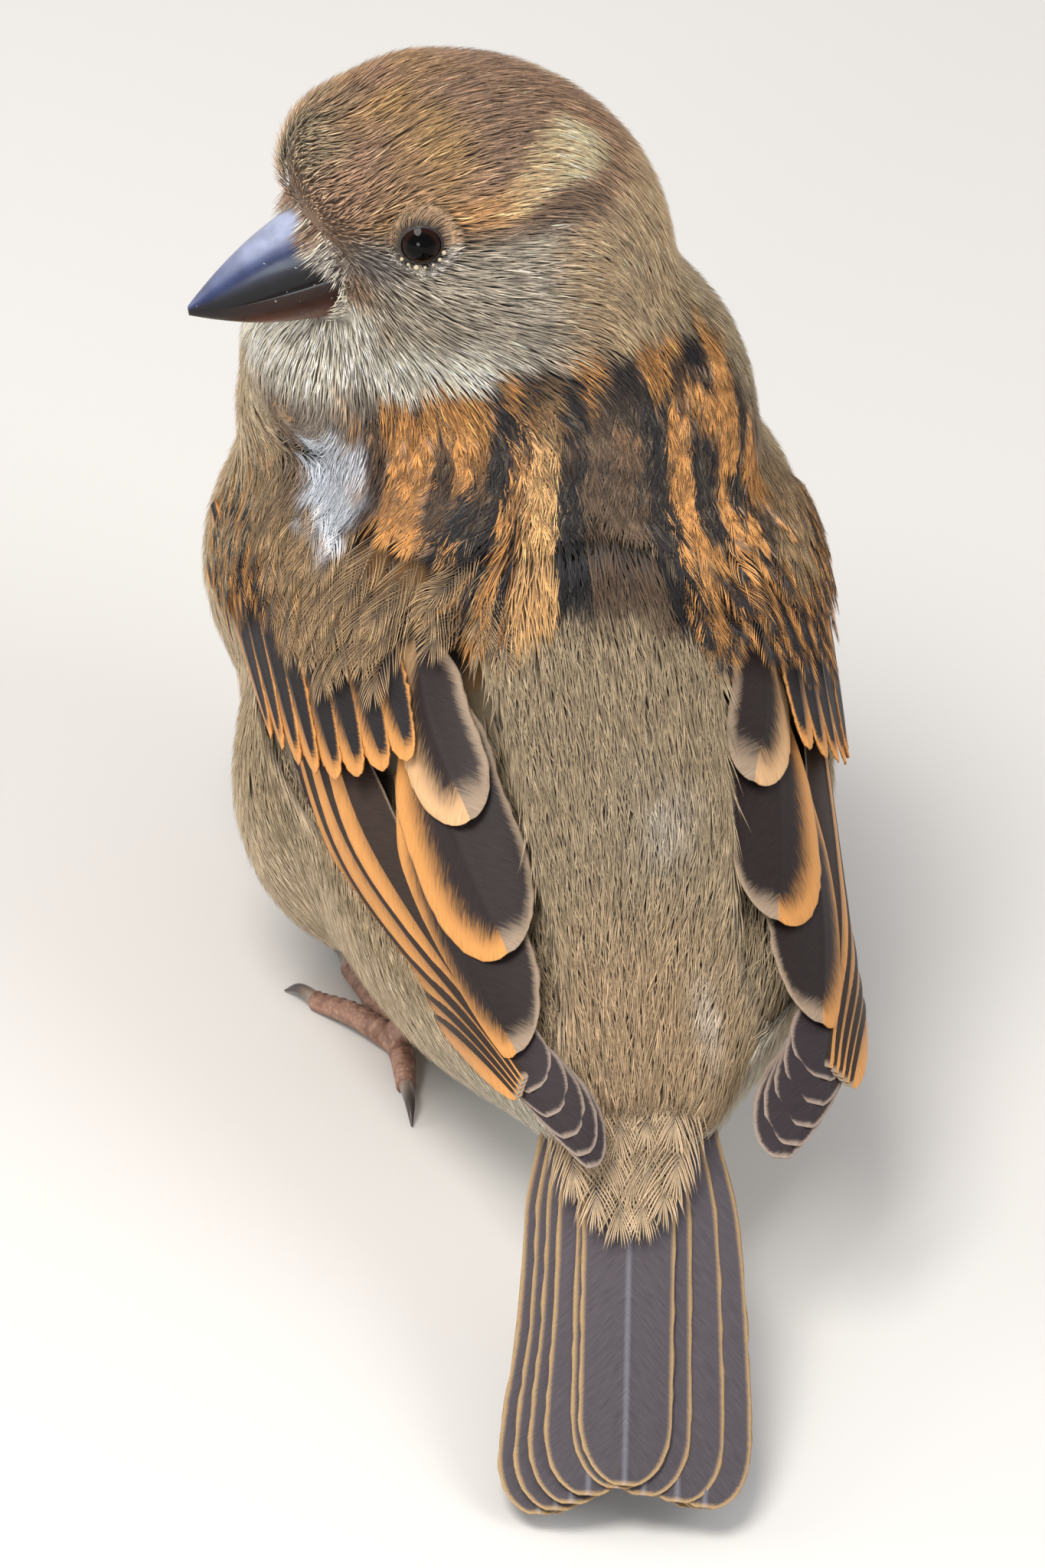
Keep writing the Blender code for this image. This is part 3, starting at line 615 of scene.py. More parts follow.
def lay_barbs(name, lines, ups, half_widths, ridges, dyes, homes=None):
    """Coat pieces of barbs. dyes is (N, K, 3), and homes is each barb's place in the exported map,
    which is the place of its root if it isn't given."""
    homes = unwrapped(lines[:, 0]) if homes is None else homes
    stations = lines.shape[1]
    most = MOST_TRIANGLES // len(barb_triangles(stations))
    pieces = []
    parts = range(0, len(lines), most)
    for number, start in enumerate(parts):
        cut = slice(start, start + most)
        points, triangles, line, station, corner = barbs(lines[cut], ups[cut], half_widths[cut], ridges[cut])
        uv = homes[cut][line] + np.stack([corner * 0.5, station / (stations - 1)], axis=-1) * PATCH
        label = name if len(parts) == 1 else f"{name}_{number + 1}"
        piece = add_piece(label, points, triangles, body_barbs, dyes[cut][line, station], uv)
        pieces.append(piece)
    return pieces


flesh_points, flesh_faces = mesh_arrays(evened_mesh(FLESH[:3], swell=0.3, voxel=0.9, smoothing=6))


def bare(points):
    """1 where the plumage leaves the eye and the bill free."""
    q = to_head(points)
    eye = np.linalg.norm(q * (1, 0, 1) + np.abs(q) * (0, 1, 0) - EYE_PLACE, axis=-1) < EYE_RADIUS + 0.25
    bill = (q[..., 0] > 12.4) & (q[..., 2] > -4.4) & (q[..., 2] < 6.6) & (np.abs(q[..., 1]) < 4.6)
    return eye | bill


def on_the_head(points):
    """1 where the head's coat is rooted."""
    return 1.0 * (head_reach(points) < HEAD_COAT_END) * (cover(points) > -2.6)


def lay_coat(name, roots, lengths, widths, seed, low, high, spread, shade, contrast, field=cover):
    """Single barbs rooted at the given places, coloured by the coat's marks. low and high are their
    heights at root and tip, spread is how far they stray from the lie of the coat, shade is how dark
    their roots are painted, as painted shade under the barbs that lie over them, and contrast is how
    much one differs from the next."""
    rng = np.random.default_rng(seed)
    count = len(roots)
    turn = rng.normal(0, spread, count)
    tips = high + rng.normal(0, 0.10, count)
    lines, ups = comb(roots, lengths, BARB_STATIONS, turn, low, tips, rng, field=field)
    base = coat_colour(lines[:, BARB_STATIONS // 2], ups[:, BARB_STATIONS // 2])
    level = np.exp(rng.normal(0, contrast, (count, 1, 1)))
    # Painted shade at each barb's root, rising to painted light at its tip, 1.12 times its colour.
    fade = np.linspace(shade, 1.12, BARB_STATIONS)[None, :, None]
    dyes = np.clip(base[:, None] * level * fade, 0, 1)
    half = widths[:, None] * np.array([0.85, 1.0, 0.4])
    lay_barbs(name, lines, ups, half, half * 0.7, dyes, unwrapped(roots))


rng = np.random.default_rng(11)
roots = scattered(flesh_points, flesh_faces, HEAD_BARB_SPACING, rng, on_the_head)
roots, _ = cover.settle(roots)
roots = roots[~bare(roots)]
q = to_head(roots)
face = 1 - ramp(np.linalg.norm(q - (11.0, 0.0, 2.0), axis=-1), 4.0, 16.0)
length = (3.3 - 2.1 * face) * rng.uniform(0.8, 1.2, len(roots))
width = 0.070 - 0.02 * face
lay_coat("head_plumage", roots, length, width, 12, low=-0.7, high=0.35, spread=0.10,
         shade=0.34, contrast=0.40)

# ---------------------------------------------------------------------------------------------
# Body plumage: the long soft barbs of the breast, belly, flanks and rump, keratin too, which cross each
# other at their loose tips. Under the wings they lie on the trunk itself, as the cover is shut there.
# ---------------------------------------------------------------------------------------------
TAIL_END_OF_BODY = 37
AT_THE_COVER, UNDER_THE_COVER = -1.3, -3.9


def on_the_body(points):
    """1 where the body's coat is rooted, which is not where the mantle's feathers hide it."""
    x, y, z = np.moveaxis(points, -1, 0)
    feathered = (y > -13) & (y < -2) & (np.abs(x) < 16) & (z > 38) & (z < neckline(points) - 3)
    shown = (cover(points) > AT_THE_COVER) & (y < TAIL_END_OF_BODY)
    return 1.0 * (shown & (head_reach(points) > BODY_COAT_START) & ~feathered)


def under_the_wing(points):
    """1 on the flank and belly, deeper than the cover."""
    y, depth = points[..., 1], cover(points)
    inner = (y > 6) | (points[..., 2] < 32)
    return 1.0 * (inner & (depth <= AT_THE_COVER) & (depth > UNDER_THE_COVER)
                  & (y < TAIL_END_OF_BODY) & (y > -18))


BODY_BARB_SPACING, FLANK_BARB_SPACING = 0.44, 0.5
BODY_BARB_LENGTHS = (4.4, 6.4)
BODY_BARB_HALF, FLANK_BARB_HALF = 0.075, 0.08
rng = np.random.default_rng(21)
roots = scattered(flesh_points, flesh_faces, BODY_BARB_SPACING, rng, on_the_body)
roots, _ = cover.settle(roots)
count = len(roots)
lay_coat("body_plumage", roots, rng.uniform(*BODY_BARB_LENGTHS, count),
         np.full(count, BODY_BARB_HALF), 22, low=-0.6, high=0.3, spread=0.13, shade=0.5, contrast=0.16)
roots = scattered(flesh_points, flesh_faces, FLANK_BARB_SPACING, rng, under_the_wing)
count = len(roots)
lay_coat("flank_plumage", roots, rng.uniform(*BODY_BARB_LENGTHS, count),
         np.full(count, FLANK_BARB_HALF), 23, low=-0.5, high=0.3, spread=0.13, shade=0.5, contrast=0.16,
         field=DistanceField(flesh_points, flesh_faces))

# ---------------------------------------------------------------------------------------------
# Flight feathers: long stiff vanes of the folded wings, hooked barbs of keratin on a hollow shaft. Each
# is one thin closed sheet with a raised shaft, its edge cut into barb tips, laid on the wing's face at
# its own height in the stack, so that it lies over or under the next as a closed fan does.
# ---------------------------------------------------------------------------------------------
# Three lines along the folded left wing, from wrist to tip: next to the back, down the middle of its
# face and along its lower edge. The right wing mirrors them, and its outer half stands out a little.
WING_BACK = np.array([(13.2, -14, 49.6), (12.6, -4, 47.0), (11.4, 6, 42.0), (9.6, 17, 34.4),
                      (8.0, 30, 27.6), (6.2, 48, 20.7)])
WING_SIDE = np.array([(23.2, -22, 42.5), (22.4, -9, 38.0), (20.6, 5, 32.5), (17.4, 17, 28.2),
                      (13.4, 30, 24.0), (8.8, 48, 20.3)])
WING_EDGE = np.array([(26.0, -25, 31.0), (24.2, -11, 27.0), (22.2, 3, 23.0), (18.7, 16, 20.8),
                      (15.4, 29, 19.8), (11.2, 47.5, 19.2)])
RIGHT_WING_OUT = (1.6, 4.8)
RIGHT_WING_BEND = (0.3, 0.8)


def along_guide(points, s):
    """A smooth curve through the guide's points, read at s from 0 to 1."""
    spans = len(points) - 1
    at = s * spans
    i = np.clip(at.astype(int), 0, spans - 1)
    f = (at - i)[..., None]
    ends = np.concatenate([[2 * points[0] - points[1]], points, [2 * points[-1] - points[-2]]])
    p0, p1, p2, p3 = (ends[i + k] for k in range(4))
    return 0.5 * (2 * p1 + (p2 - p0) * f + (2 * p0 - 5 * p1 + 4 * p2 - p3) * f * f
                  + (3 * p1 - p0 - 3 * p2 + p3) * f ** 3)


def wing_point(s, t, sign):
    """The folded wing's face: s from the wrist to the tip, t from the back to the lower edge."""
    s, t = np.broadcast_arrays(np.asarray(s, float), np.asarray(t, float))
    back, side, edge = (along_guide(line, s) for line in (WING_BACK, WING_SIDE, WING_EDGE))
    t = t[..., None]
    point = back * (1 - t) ** 2 + (2 * side - (back + edge) / 2) * 2 * t * (1 - t) + edge * t * t
    if sign < 0:
        bend = ramp(s, *RIGHT_WING_BEND)
        point[..., 0] += (RIGHT_WING_OUT[0] + (RIGHT_WING_OUT[1] - RIGHT_WING_OUT[0]) * t[..., 0]) * bend
    return point * (sign, 1, 1)


def wing_normal(s, t, sign):
    """The face's outward normal."""
    ahead = wing_point(s + 0.02, t, sign) - wing_point(s - 0.02, t, sign)
    across = wing_point(s, t + 0.05, sign) - wing_point(s, t - 0.05, sign)
    normal = unit(np.cross(ahead, across))
    return normal * np.where(normal[..., :1] * sign > 0, 1.0, -1.0)


HALF_COLUMNS = (0.06, 0.18, 0.42, 0.66, 0.84, 0.95, 1.0)     # across one web, close to shaft and edge
VANE_COLUMNS = np.array([-c for c in reversed(HALF_COLUMNS)] + [0.0, *HALF_COLUMNS])
VANE_ROWS = 34
VANE_THICK = 0.14
SHAFT_RISE, SHAFT_WIDTH = 0.09, 0.16


def halved(a, b, c, d):
    """Two triangles for each face with those corners."""
    return np.concatenate([np.stack([a, b, c], -1).reshape(-1, 3), np.stack([a, c, d], -1).reshape(-1, 3)])


def sheet_triangles(rows, columns):
    """The faces of a closed sheet: an upper grid, and a lower one that shares the upper one's rim."""
    upper = np.arange(rows * columns).reshape(rows, columns)
    lower = upper.copy()
    inside = (rows - 2) * (columns - 2)
    lower[1:-1, 1:-1] = rows * columns + np.arange(inside).reshape(rows - 2, columns - 2)
    above, below = (halved(g[:-1, :-1], g[1:, :-1], g[1:, 1:], g[:-1, 1:]) for g in (upper, lower))
    return np.concatenate([above, below[:, ::-1]])


def vane_sheet(place, length, webs, rng, root=0.5, tip=0.72, blunt=2.0, ragged=0.05, camber=0.3):
    """A vane as arrays. place(v, u) gives points and normals for v from 0 to 1 and u millimetres off
    the shaft. webs are the half widths on the low and the high side of u. root is the share of them
    at the root, tip the place where the end begins to close, blunt how square it closes, and ragged
    how deep its edge is cut."""
    v = 1 - (1 - np.linspace(0, 1, VANE_ROWS)) ** 1.6
    close = np.clip((v - tip) / (1 - tip), 0, 1)
    narrow = (root + (1 - root) * ramp(v, 0.0, 0.35)) * np.sqrt(np.maximum(1 - close ** blunt, 0.0004))
    g = VANE_COLUMNS[None, :]
    half = np.where(g < 0, webs[0], webs[1]) * narrow[:, None]
    cut = np.ones((VANE_ROWS, len(VANE_COLUMNS)))
    cut[:, [0, -1]] -= rng.random((VANE_ROWS, 2)) * ragged
    cut[:, [1, -2]] -= rng.random((VANE_ROWS, 2)) * ragged * 0.4     # next to the edge, less deep
    u = half * g * cut
    full_v = np.broadcast_to(v[:, None], u.shape)
    points, normals = place(full_v, u)
    arch = SHAFT_RISE * np.exp(-(u / SHAFT_WIDTH) ** 2) - camber * g ** 2 * np.minimum(half, 3) / 3
    top = points + normals * arch[..., None]
    bottom = top - normals * VANE_THICK
    inner = (slice(1, -1), slice(1, -1))
    made = np.concatenate([top.reshape(-1, 3), bottom[inner].reshape(-1, 3)])

    def both(values):
        return np.concatenate([values.reshape(-1), values[inner].reshape(-1)])

    triangles = sheet_triangles(VANE_ROWS, len(VANE_COLUMNS))
    first = triangles[len(triangles) // 8]
    facing = np.cross(made[first[1]] - made[first[0]], made[first[2]] - made[first[0]])
    if facing @ normals[VANE_ROWS // 4, 3] < 0:
        triangles = triangles[:, ::-1]
    return made, triangles, both(u), both(full_v), both(np.broadcast_to(half, u.shape)), length


def fringe(u, v, half, length, widths):
    """Below 0 within the pale fringe, above it in the dark middle: widths on the low side, the high
    side and at the tip."""
    side = (half - np.abs(u)) / np.where(u < 0, widths[0], widths[1])
    end = length * (1 - v) / widths[2]
    return np.minimum(side, end) - 1


class Vanes:
    """Gathers vanes into one piece, each in its own cell of the exported map."""
    CELLS = 8

    def __init__(self):
        self.parts = []
        self.count = 0

    def add(self, sheet, dark, pale, widths, pale_inner=None):
        """widths are the fringe's, and pale_inner is its colour on the low side of u."""
        points, triangles, u, v, half, length = sheet
        rim = fringe(u, v, half, length, widths)
        edge = np.broadcast_to(pale, points.shape).copy()
        if pale_inner is not None:
            edge[u < 0] = pale_inner
        dye = dark * (1.12 - 0.25 * v[:, None])
        cell = np.array([self.count % self.CELLS, self.count // self.CELLS])
        local = np.stack([u / (2 * np.abs(u).max()) + 0.5, v], axis=-1)
        uv = (cell + 0.04 + 0.92 * local) / self.CELLS
        start = sum(len(part[0]) for part in self.parts)
        ruled = np.stack([u, v * length + 7.3 * self.count], axis=-1)
        self.parts.append((points, triangles + start, dye, edge, rim, uv, ruled))
        self.count += 1

    def build(self, name, material):
        """The piece, with its dyes and two maps: its place for the export, and barbs for the streaks."""
        points, triangles, dye, edge, rim, uv, ruled = (np.concatenate(c) for c in zip(*self.parts))
        piece = add_piece(name, points, triangles, material, dye, uv, more={
            "Edge": edge, "Rim": rim, "Vane": ruled})
        return piece


PITH = colour("#9595A0")


def vane_material(name, roughness, shaft=0.0):
    """Feather keratin in a stiff vane: smoother than loose barbs, so it takes a dull shine. Its barbs
    slant from the shaft as fine streaks, 3.6 to the millimetre where real ones are about 20, as those
    are too fine to show. They also break the fringe's edge. shaft is how pale the shaft's pith is."""
    material, tree, shader = new_material(name, Roughness=roughness, Specular_IOR_Level=0.2,
                                          Sheen_Weight=0.03, Sheen_Roughness=0.4)
    vane = node(tree, "ShaderNodeUVMap", uv_map="Vane")
    parts = node(tree, "ShaderNodeSeparateXYZ", {0: vane})
    off = node(tree, "ShaderNodeMath", {0: parts.outputs["X"]}, operation="ABSOLUTE")
    slant = node(tree, "ShaderNodeMath", {0: off, 1: -1.3, 2: parts.outputs["Y"]}, operation="MULTIPLY_ADD")
    along = node(tree, "ShaderNodeMath", {0: off, 1: 0.25}, operation="MULTIPLY")
    barb = node(tree, "ShaderNodeCombineXYZ", {"X": slant, "Y": along})
    streak = node(tree, "ShaderNodeTexNoise", {"Vector": barb, "Scale": 3.6, "Detail": 2.0,
                                               "Roughness": 0.6}).outputs["Fac"]
    rim = node(tree, "ShaderNodeAttribute", attribute_name="Rim")
    shift = node(tree, "ShaderNodeMapRange", {"Value": streak, "From Min": 0.3, "From Max": 0.7,
                                              "To Min": -0.3, "To Max": 0.3})
    place = node(tree, "ShaderNodeMath", {0: rim.outputs["Fac"], 1: shift}, operation="ADD")
    share = node(tree, "ShaderNodeMapRange", {"Value": place, "From Min": -0.55, "From Max": 0.75},
                 interpolation_type="SMOOTHSTEP")
    dye = node(tree, "ShaderNodeAttribute", attribute_name="Dye")
    edge = node(tree, "ShaderNodeAttribute", attribute_name="Edge")
    fringed = node(tree, "ShaderNodeMix", {0: share, 6: edge.outputs["Color"], 7: dye.outputs["Color"]},
                   data_type="RGBA")
    near = node(tree, "ShaderNodeMapRange", {"Value": off, "From Min": 0.06, "From Max": 0.34,
                                             "To Min": shaft, "To Max": 0.0})
    made = node(tree, "ShaderNodeMix", {0: near, 6: fringed.outputs[2], 7: (*PITH, 1.0)}, data_type="RGBA")
    level = node(tree, "ShaderNodeMapRange", {"Value": streak, "From Min": 0.3, "From Max": 0.7,
                                              "To Min": 0.8, "To Max": 1.18})
    shade = node(tree, "ShaderNodeVectorMath", {0: made.outputs[2], "Scale": level}, operation="SCALE")
    tree.links.new(shade.outputs[0], shader.inputs["Base Color"])
    bump = node(tree, "ShaderNodeBump", {"Height": streak, "Strength": 0.35, "Distance": 0.08 * MM})
    tree.links.new(bump.outputs[0], shader.inputs["Normal"])
    return material


flight_vane = vane_material("flight_feather_vane", 0.52)
VANE_DARK, VANE_BROWN, PRIMARY_DARK = colour("#261E1D"), colour("#30251F"), colour("#332B2D")
FRINGE_ORANGE, FRINGE_BUFF, FRINGE_PALE = colour("#C0864A"), colour("#C29A70"), colour("#8E7A66")
PRIMARY_EDGE = colour("#8E7D70")


def wing_feather(sign, lane, webs, heights, rng, tilt=0.0, lift=0.0, **form):
    """A vane on the wing's face, along lane: places (s, t) from its root to its tip. heights are over
    the face at its root and tip, lift is what its middle rises over them, and tilt lifts its outer
    web; webs are its half widths towards the back and towards the lower edge."""
    lane = np.array(lane, float)
    middle = along_guide(lane, np.linspace(0, 1, 30))
    walked = wing_point(middle[:, 0], middle[:, 1], sign)
    length = np.linalg.norm(np.diff(walked, axis=0), axis=1).sum()

    def place(v, u):
        s, t = np.moveaxis(along_guide(lane, v), -1, 0)
        width = np.linalg.norm(wing_point(s, t + 0.05, sign) - wing_point(s, t - 0.05, sign), axis=-1) / 0.1
        t = t + u / width
        normal = wing_normal(s, t, sign)
        height = heights[0] + (heights[1] - heights[0]) * v + tilt * u + lift * 4 * v * (1 - v)
        return wing_point(s, t, sign) + normal * height[..., None], normal

    return vane_sheet(place, length, webs, rng, **form)


TERTIALS = {  # root, tip, half widths, heights, fringe widths at the back, the outer edge and the tip
    "short": ((0.30, 0.14), (0.585, 0.15), (3.6, 4.0), (-1.0, 0.05), (0.7, 1.9, 2.6)),
    "middle": ((0.36, 0.16), (0.76, 0.235), (4.9, 6.2), (-1.3, -0.65), (0.5, 2.5, 1.7)),
    "long": ((0.44, 0.30), (0.86, 0.58), (5.6, 5.4), (-1.7, -1.25), (0.45, 2.4, 1.4)),
}
SECONDARIES = 5
PRIMARIES = 6
PRIMARY_TIPS = [  # where each ends on the wing's face, from the innermost out
    (0.900, 0.72), (0.932, 0.68), (0.960, 0.60), (0.982, 0.50), (0.996, 0.40), (0.985, 0.42),
]
GREATER_COVERTS = [  # where each ends, from the lower edge up to the back
    (0.25, 0.92), (0.29, 0.84), (0.335, 0.755), (0.37, 0.67), (0.405, 0.575), (0.43, 0.475), (0.452, 0.37),
    (0.465, 0.27),
]

for side, sign in (("left", 1), ("right", -1)):
    rng = np.random.default_rng(31 if sign > 0 else 32)
    vanes = Vanes()
    shift = 0.05 if sign > 0 else -0.12      # the left wing lies lower on its side, the right one higher
    for i in range(PRIMARIES - 1, -1, -1):
        tip_s, tip_t = PRIMARY_TIPS[i]
        tip_t += 0.0 if sign > 0 else -0.16 - 0.03 * i
        lane = [(0.22, 0.88 + 0.05 * i), (0.45, 1.10 + 0.075 * i + shift * 0.3),
                (0.70, 1.13 + 0.07 * i + shift), (tip_s, tip_t)]
        sheet = wing_feather(sign, lane, (4.9, 2.1), (-1.3, -1.9 - 0.25 * i), rng, tilt=0.06,
                             lift=0.55 + 0.12 * i, tip=0.88, blunt=2.2)
        vanes.add(sheet, PRIMARY_DARK, PRIMARY_EDGE, (0.3, 0.3, 0.4))
    for i in range(SECONDARIES - 1, -1, -1):
        lane = [(0.24, 0.56 + 0.15 * i), (0.56, 0.70 + 0.155 * i + shift * 0.4),
                (0.885 + 0.004 * i, 0.68 + 0.065 * i + shift * 0.8)]
        sheet = wing_feather(sign, lane, (3.6, 2.6), (-1.5 + 0.05 * i, -1.75 + 0.10 * i), rng, tilt=0.18,
                             lift=0.1 + 0.2 * i, tip=0.8)
        vanes.add(sheet, VANE_BROWN, FRINGE_ORANGE, (0.2, 2.2, 0.5), FRINGE_PALE)
    for name in ("long", "middle", "short"):
        start, finish, webs, heights, widths = TERTIALS[name]
        finish = (finish[0] - (0.02 if sign < 0 else 0), finish[1] + min(shift, 0.0))
        halfway = ((start[0] + finish[0]) / 2, (start[1] + finish[1]) / 2 + 0.03)
        sheet = wing_feather(sign, [start, halfway, finish], webs, heights, rng, tip=0.62, blunt=2.2,
                             camber=0.5)
        vanes.add(sheet, VANE_DARK, FRINGE_BUFF if name == "short" else FRINGE_ORANGE, widths, FRINGE_PALE)
    for i, (tip_s, tip_t) in enumerate(GREATER_COVERTS):
        reach = 0.33 if i < 4 else 0.25
        lane = [(tip_s - reach, tip_t * 0.90), (tip_s - reach / 2, tip_t * 0.96), (tip_s, tip_t)]
        sheet = wing_feather(sign, lane, (2.0, 2.5), (-0.5, 0.55 - 0.03 * i), rng, tip=0.5, ragged=0.26,
                             camber=0.35, blunt=1.6)
        vanes.add(sheet, BLACK, FRINGE_ORANGE, (0.3, 1.3, 1.3))
    piece = vanes.build(f"wing_{side}_feathers", flight_vane)
    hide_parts(*[f"wing_{side}_{sheet}" for sheet in WING_SHEETS])

# ---------------------------------------------------------------------------------------------
# Tail: twelve stiff vanes rooted in a row in the rump, which fan a little from it. The middle pair lies
# on top and each has a narrow pale edge. Four are hidden under the others.
# ---------------------------------------------------------------------------------------------
TAIL_ROOT = np.array([0.8, 31.0, 18.6])
TAIL_TURN = math.radians(11.5)
TAIL_DROP = math.radians(17.5)
TAIL_LENGTH = 46.6
TAIL_PLACES = (0.0, 0.25, 0.45, 0.6, 0.75, 0.95)  # along the tail, and how far it has fanned there
TAIL_SPREAD_LEFT = (0.64, 0.69, 0.71, 0.76, 0.88, 1.0)
TAIL_SPREAD_RIGHT = (0.60, 0.74, 0.87, 0.93, 0.98, 1.0)
TAIL_ARCH = 0.5
RECTRIX_HALF = 3.95
RECTRIX_STEP = 0.56
RECTRICES = [  # outer edge, layer down from the top, added length
    (3.9, 0, 0.0), (6.8, 1, 0.8), (8.1, 2, 1.3), (9.3, 3, 1.6), (10.6, 4, 1.6), (9.9, 4.6, 1.2),
    (-3.4, 0.5, 0.1), (-5.6, 1, 0.4), (-8.4, 1.6, 0.5), (-10.7, 2, 0.6), (-10.4, 3, 0.2), (-9.6, 3.6, 0.0),
]
tail_ahead = np.array([math.sin(TAIL_TURN) * math.cos(TAIL_DROP),
                       math.cos(TAIL_TURN) * math.cos(TAIL_DROP), -math.sin(TAIL_DROP)])
tail_side = np.array([math.cos(TAIL_TURN), -math.sin(TAIL_TURN), 0.0])
tail_up = np.cross(tail_side, tail_ahead)


def rectrix(edge, layer, added, rng):
    """One tail feather."""
    length = TAIL_LENGTH + added
    sign = math.copysign(1.0, edge)
    middle = sign * (abs(edge) - RECTRIX_HALF)

    def place(v, u):
        spread = np.interp(v, TAIL_PLACES, TAIL_SPREAD_LEFT if sign > 0 else TAIL_SPREAD_RIGHT)
        across = middle * spread + u
        lift = 0.12 - layer * RECTRIX_STEP - TAIL_ARCH * (across / 10.0) ** 2
        points = (TAIL_ROOT + tail_ahead * (length * v)[..., None] + tail_side * across[..., None]
                  + tail_up * lift[..., None])
        return points, np.broadcast_to(tail_up, points.shape)

    return vane_sheet(place, length, (RECTRIX_HALF, RECTRIX_HALF), rng, root=0.6, tip=0.84, camber=0.22,
                      ragged=0.04)


tail_vane = vane_material("tail_feather_vane", 0.5, shaft=0.28)
TAIL_BROWN, TAIL_EDGE = colour("#4C464A"), colour("#A0845F")
TAIL_FRINGE = (0.34, 0.34, 0.42)
rng = np.random.default_rng(41)
tail = Vanes()
for edge, layer, added in RECTRICES:
    tail.add(rectrix(edge, layer, added, rng), TAIL_BROWN, TAIL_EDGE, TAIL_FRINGE)
tail_piece = tail.build("tail_feathers", tail_vane)
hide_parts(*[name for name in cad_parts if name.startswith(("tail_left", "tail_right"))])

# ---------------------------------------------------------------------------------------------
# Mantle feathers: the soft contour feathers of back and shoulders, whose barbs come loose at the edge.
# Each is a fan of single barbs on one shaft, laid like shingles from the tail end up.
# ---------------------------------------------------------------------------------------------
FEATHER_STATIONS = 4
SPINE_STATIONS = 7


def fan_of_barbs(per_side, flare):
    """One feather's barbs on a unit plan: (barbs, stations) places across and along."""
    e = (np.arange(per_side) + 0.5) / per_side
    end_u = np.cos(e * math.pi / 2) ** flare
    end_v = 0.52 + 0.48 * np.sin(e * math.pi / 2)
    start_v = 0.02 + 0.74 * np.sin(e * math.pi / 2) ** 1.1
    bend_u, bend_v = 0.62 * end_u, start_v + 0.40 * (end_v - start_v)
    k = np.linspace(0, 1, FEATHER_STATIONS)[None, :]
    u = 2 * k * (1 - k) * bend_u[:, None] + k * k * end_u[:, None]
    v = (1 - k) ** 2 * start_v[:, None] + 2 * k * (1 - k) * bend_v[:, None] + k * k * end_v[:, None]
    return np.concatenate([-u, u]), np.concatenate([v, v])


def on_spines(spines, ups, u, v):
    """Turns plan places (F, S, K), across in millimetres and along from 0 to 1, to points and ups."""
    most = spines.shape[1] - 1
    at = np.clip(v * most, 0, most - 0.001)
    base = at.astype(int)
    part = (at - base)[..., None]
    which = np.arange(len(spines))[:, None, None]
    sides = unit(np.cross(np.gradient(spines, axis=1), ups))

    def read(values):
        return values[which, base] * (1 - part) + values[which, base + 1] * part

    up = unit(read(ups))
    return read(spines) + unit(read(sides)) * u[..., None], up


def lay_feathers(name, spines, ups, half, tint, seed, per_side, barb, camber, loose, flare, uneven):
    """Contour feathers on spines (F, M, 3). half is each feather's half width, tint gives colours from
    points and the barbs' plan places, barb is a barb's half width, camber how far the edges drop,
    loose how far the tips stray, flare how full the end is, and uneven how the barbs' tones differ."""
    rng = np.random.default_rng(seed)
    count = len(spines)
    plan_u, plan_v = fan_of_barbs(per_side, flare)
    free = np.linspace(0, 1, FEATHER_STATIONS) ** 2
    u = plan_u[None] * (1 + rng.normal(0, loose, (count, len(plan_u), 1)) * free)
    v = plan_v[None] + rng.normal(0, loose * 0.5, (count, len(plan_u), 1)) * free
    across = u * half[:, None, None]
    points, up = on_spines(spines, ups, across, np.clip(v, 0, 1))
    points = points - up * (camber * u ** 2 + rng.uniform(0, 0.1, (count, len(plan_u), 1)))[..., None]
    dyes = tint(points, u, v, rng)
    level = np.exp(rng.normal(0, uneven, (count, len(plan_u), 1, 1)))
    dyes = np.clip(dyes * level, 0, 1)
    lines, up, dyes = (values.reshape(-1, FEATHER_STATIONS, 3) for values in (points, up, dyes))
    widths = np.broadcast_to(barb * np.array([0.9, 1.0, 0.8, 0.3]), lines.shape[:2])
    homes = np.repeat(unwrapped(spines[:, 0]), len(plan_u), axis=0)
    return lay_barbs(name, lines, up, widths, widths * 0.6, dyes, homes)


def on_the_mantle(points):
    """1 where the mantle's feathers are rooted."""
    x, y = points[..., 0], points[..., 1]
    side = np.abs(x + 0.3)
    end = -5.5 - 3.5 * ramp(side, 8.5, 14.5) - 5.0 * ramp(side, 14.0, 17.5)
    inside = (y > -15) & (y < end) & (side < 18.0) & (points[..., 2] > 36)
    return 1.0 * inside * (points[..., 2] < neckline(points))


def mantle_tint(points, u, v, rng):
    """Stripes by place, with each barb its own colour, so that neighbours interlock."""
    barb_jitter = rng.normal(0, 0.30, u.shape[:2] + (1,))
    feather_jitter = rng.normal(0, 0.42, (len(u), 1, 1))
    ends = np.broadcast_to(points[:, :, 2:3], points.shape)
    made = mantle_colour(ends, stripe_scale(ends) + barb_jitter + feather_jitter)
    edge = (np.abs(u) > 0.45) * ramp(v, 0.5, 0.8)
    made = mix(made, RUMP, 0.25 * edge)
    # Darker towards each feather's root and brighter to its tip: painted shade where the next feather lies
    # over it.
    return made * (0.74 + 0.38 * ramp(v, 0.1, 0.9))[..., None]


MANTLE_SPACING = 1.45
rng = np.random.default_rng(52)
roots = scattered(cover_points, cover_faces, MANTLE_SPACING, rng, on_the_mantle)
count = len(roots)
length = rng.uniform(0.9, 1.1, count) * (5.6 + 4.2 * ramp(roots[:, 1], -13, -5))
spines, ups = comb(roots, length, SPINE_STATIONS, rng.normal(0, 0.05, count), -0.6, 0.30, rng, wander=0.02)
lay_feathers("mantle_feathers", spines, ups, 0.19 * length * rng.uniform(0.85, 1.1, count),
             mantle_tint, 53, per_side=15, barb=0.075, camber=0.04, loose=0.09, flare=0.55, uneven=0.12)

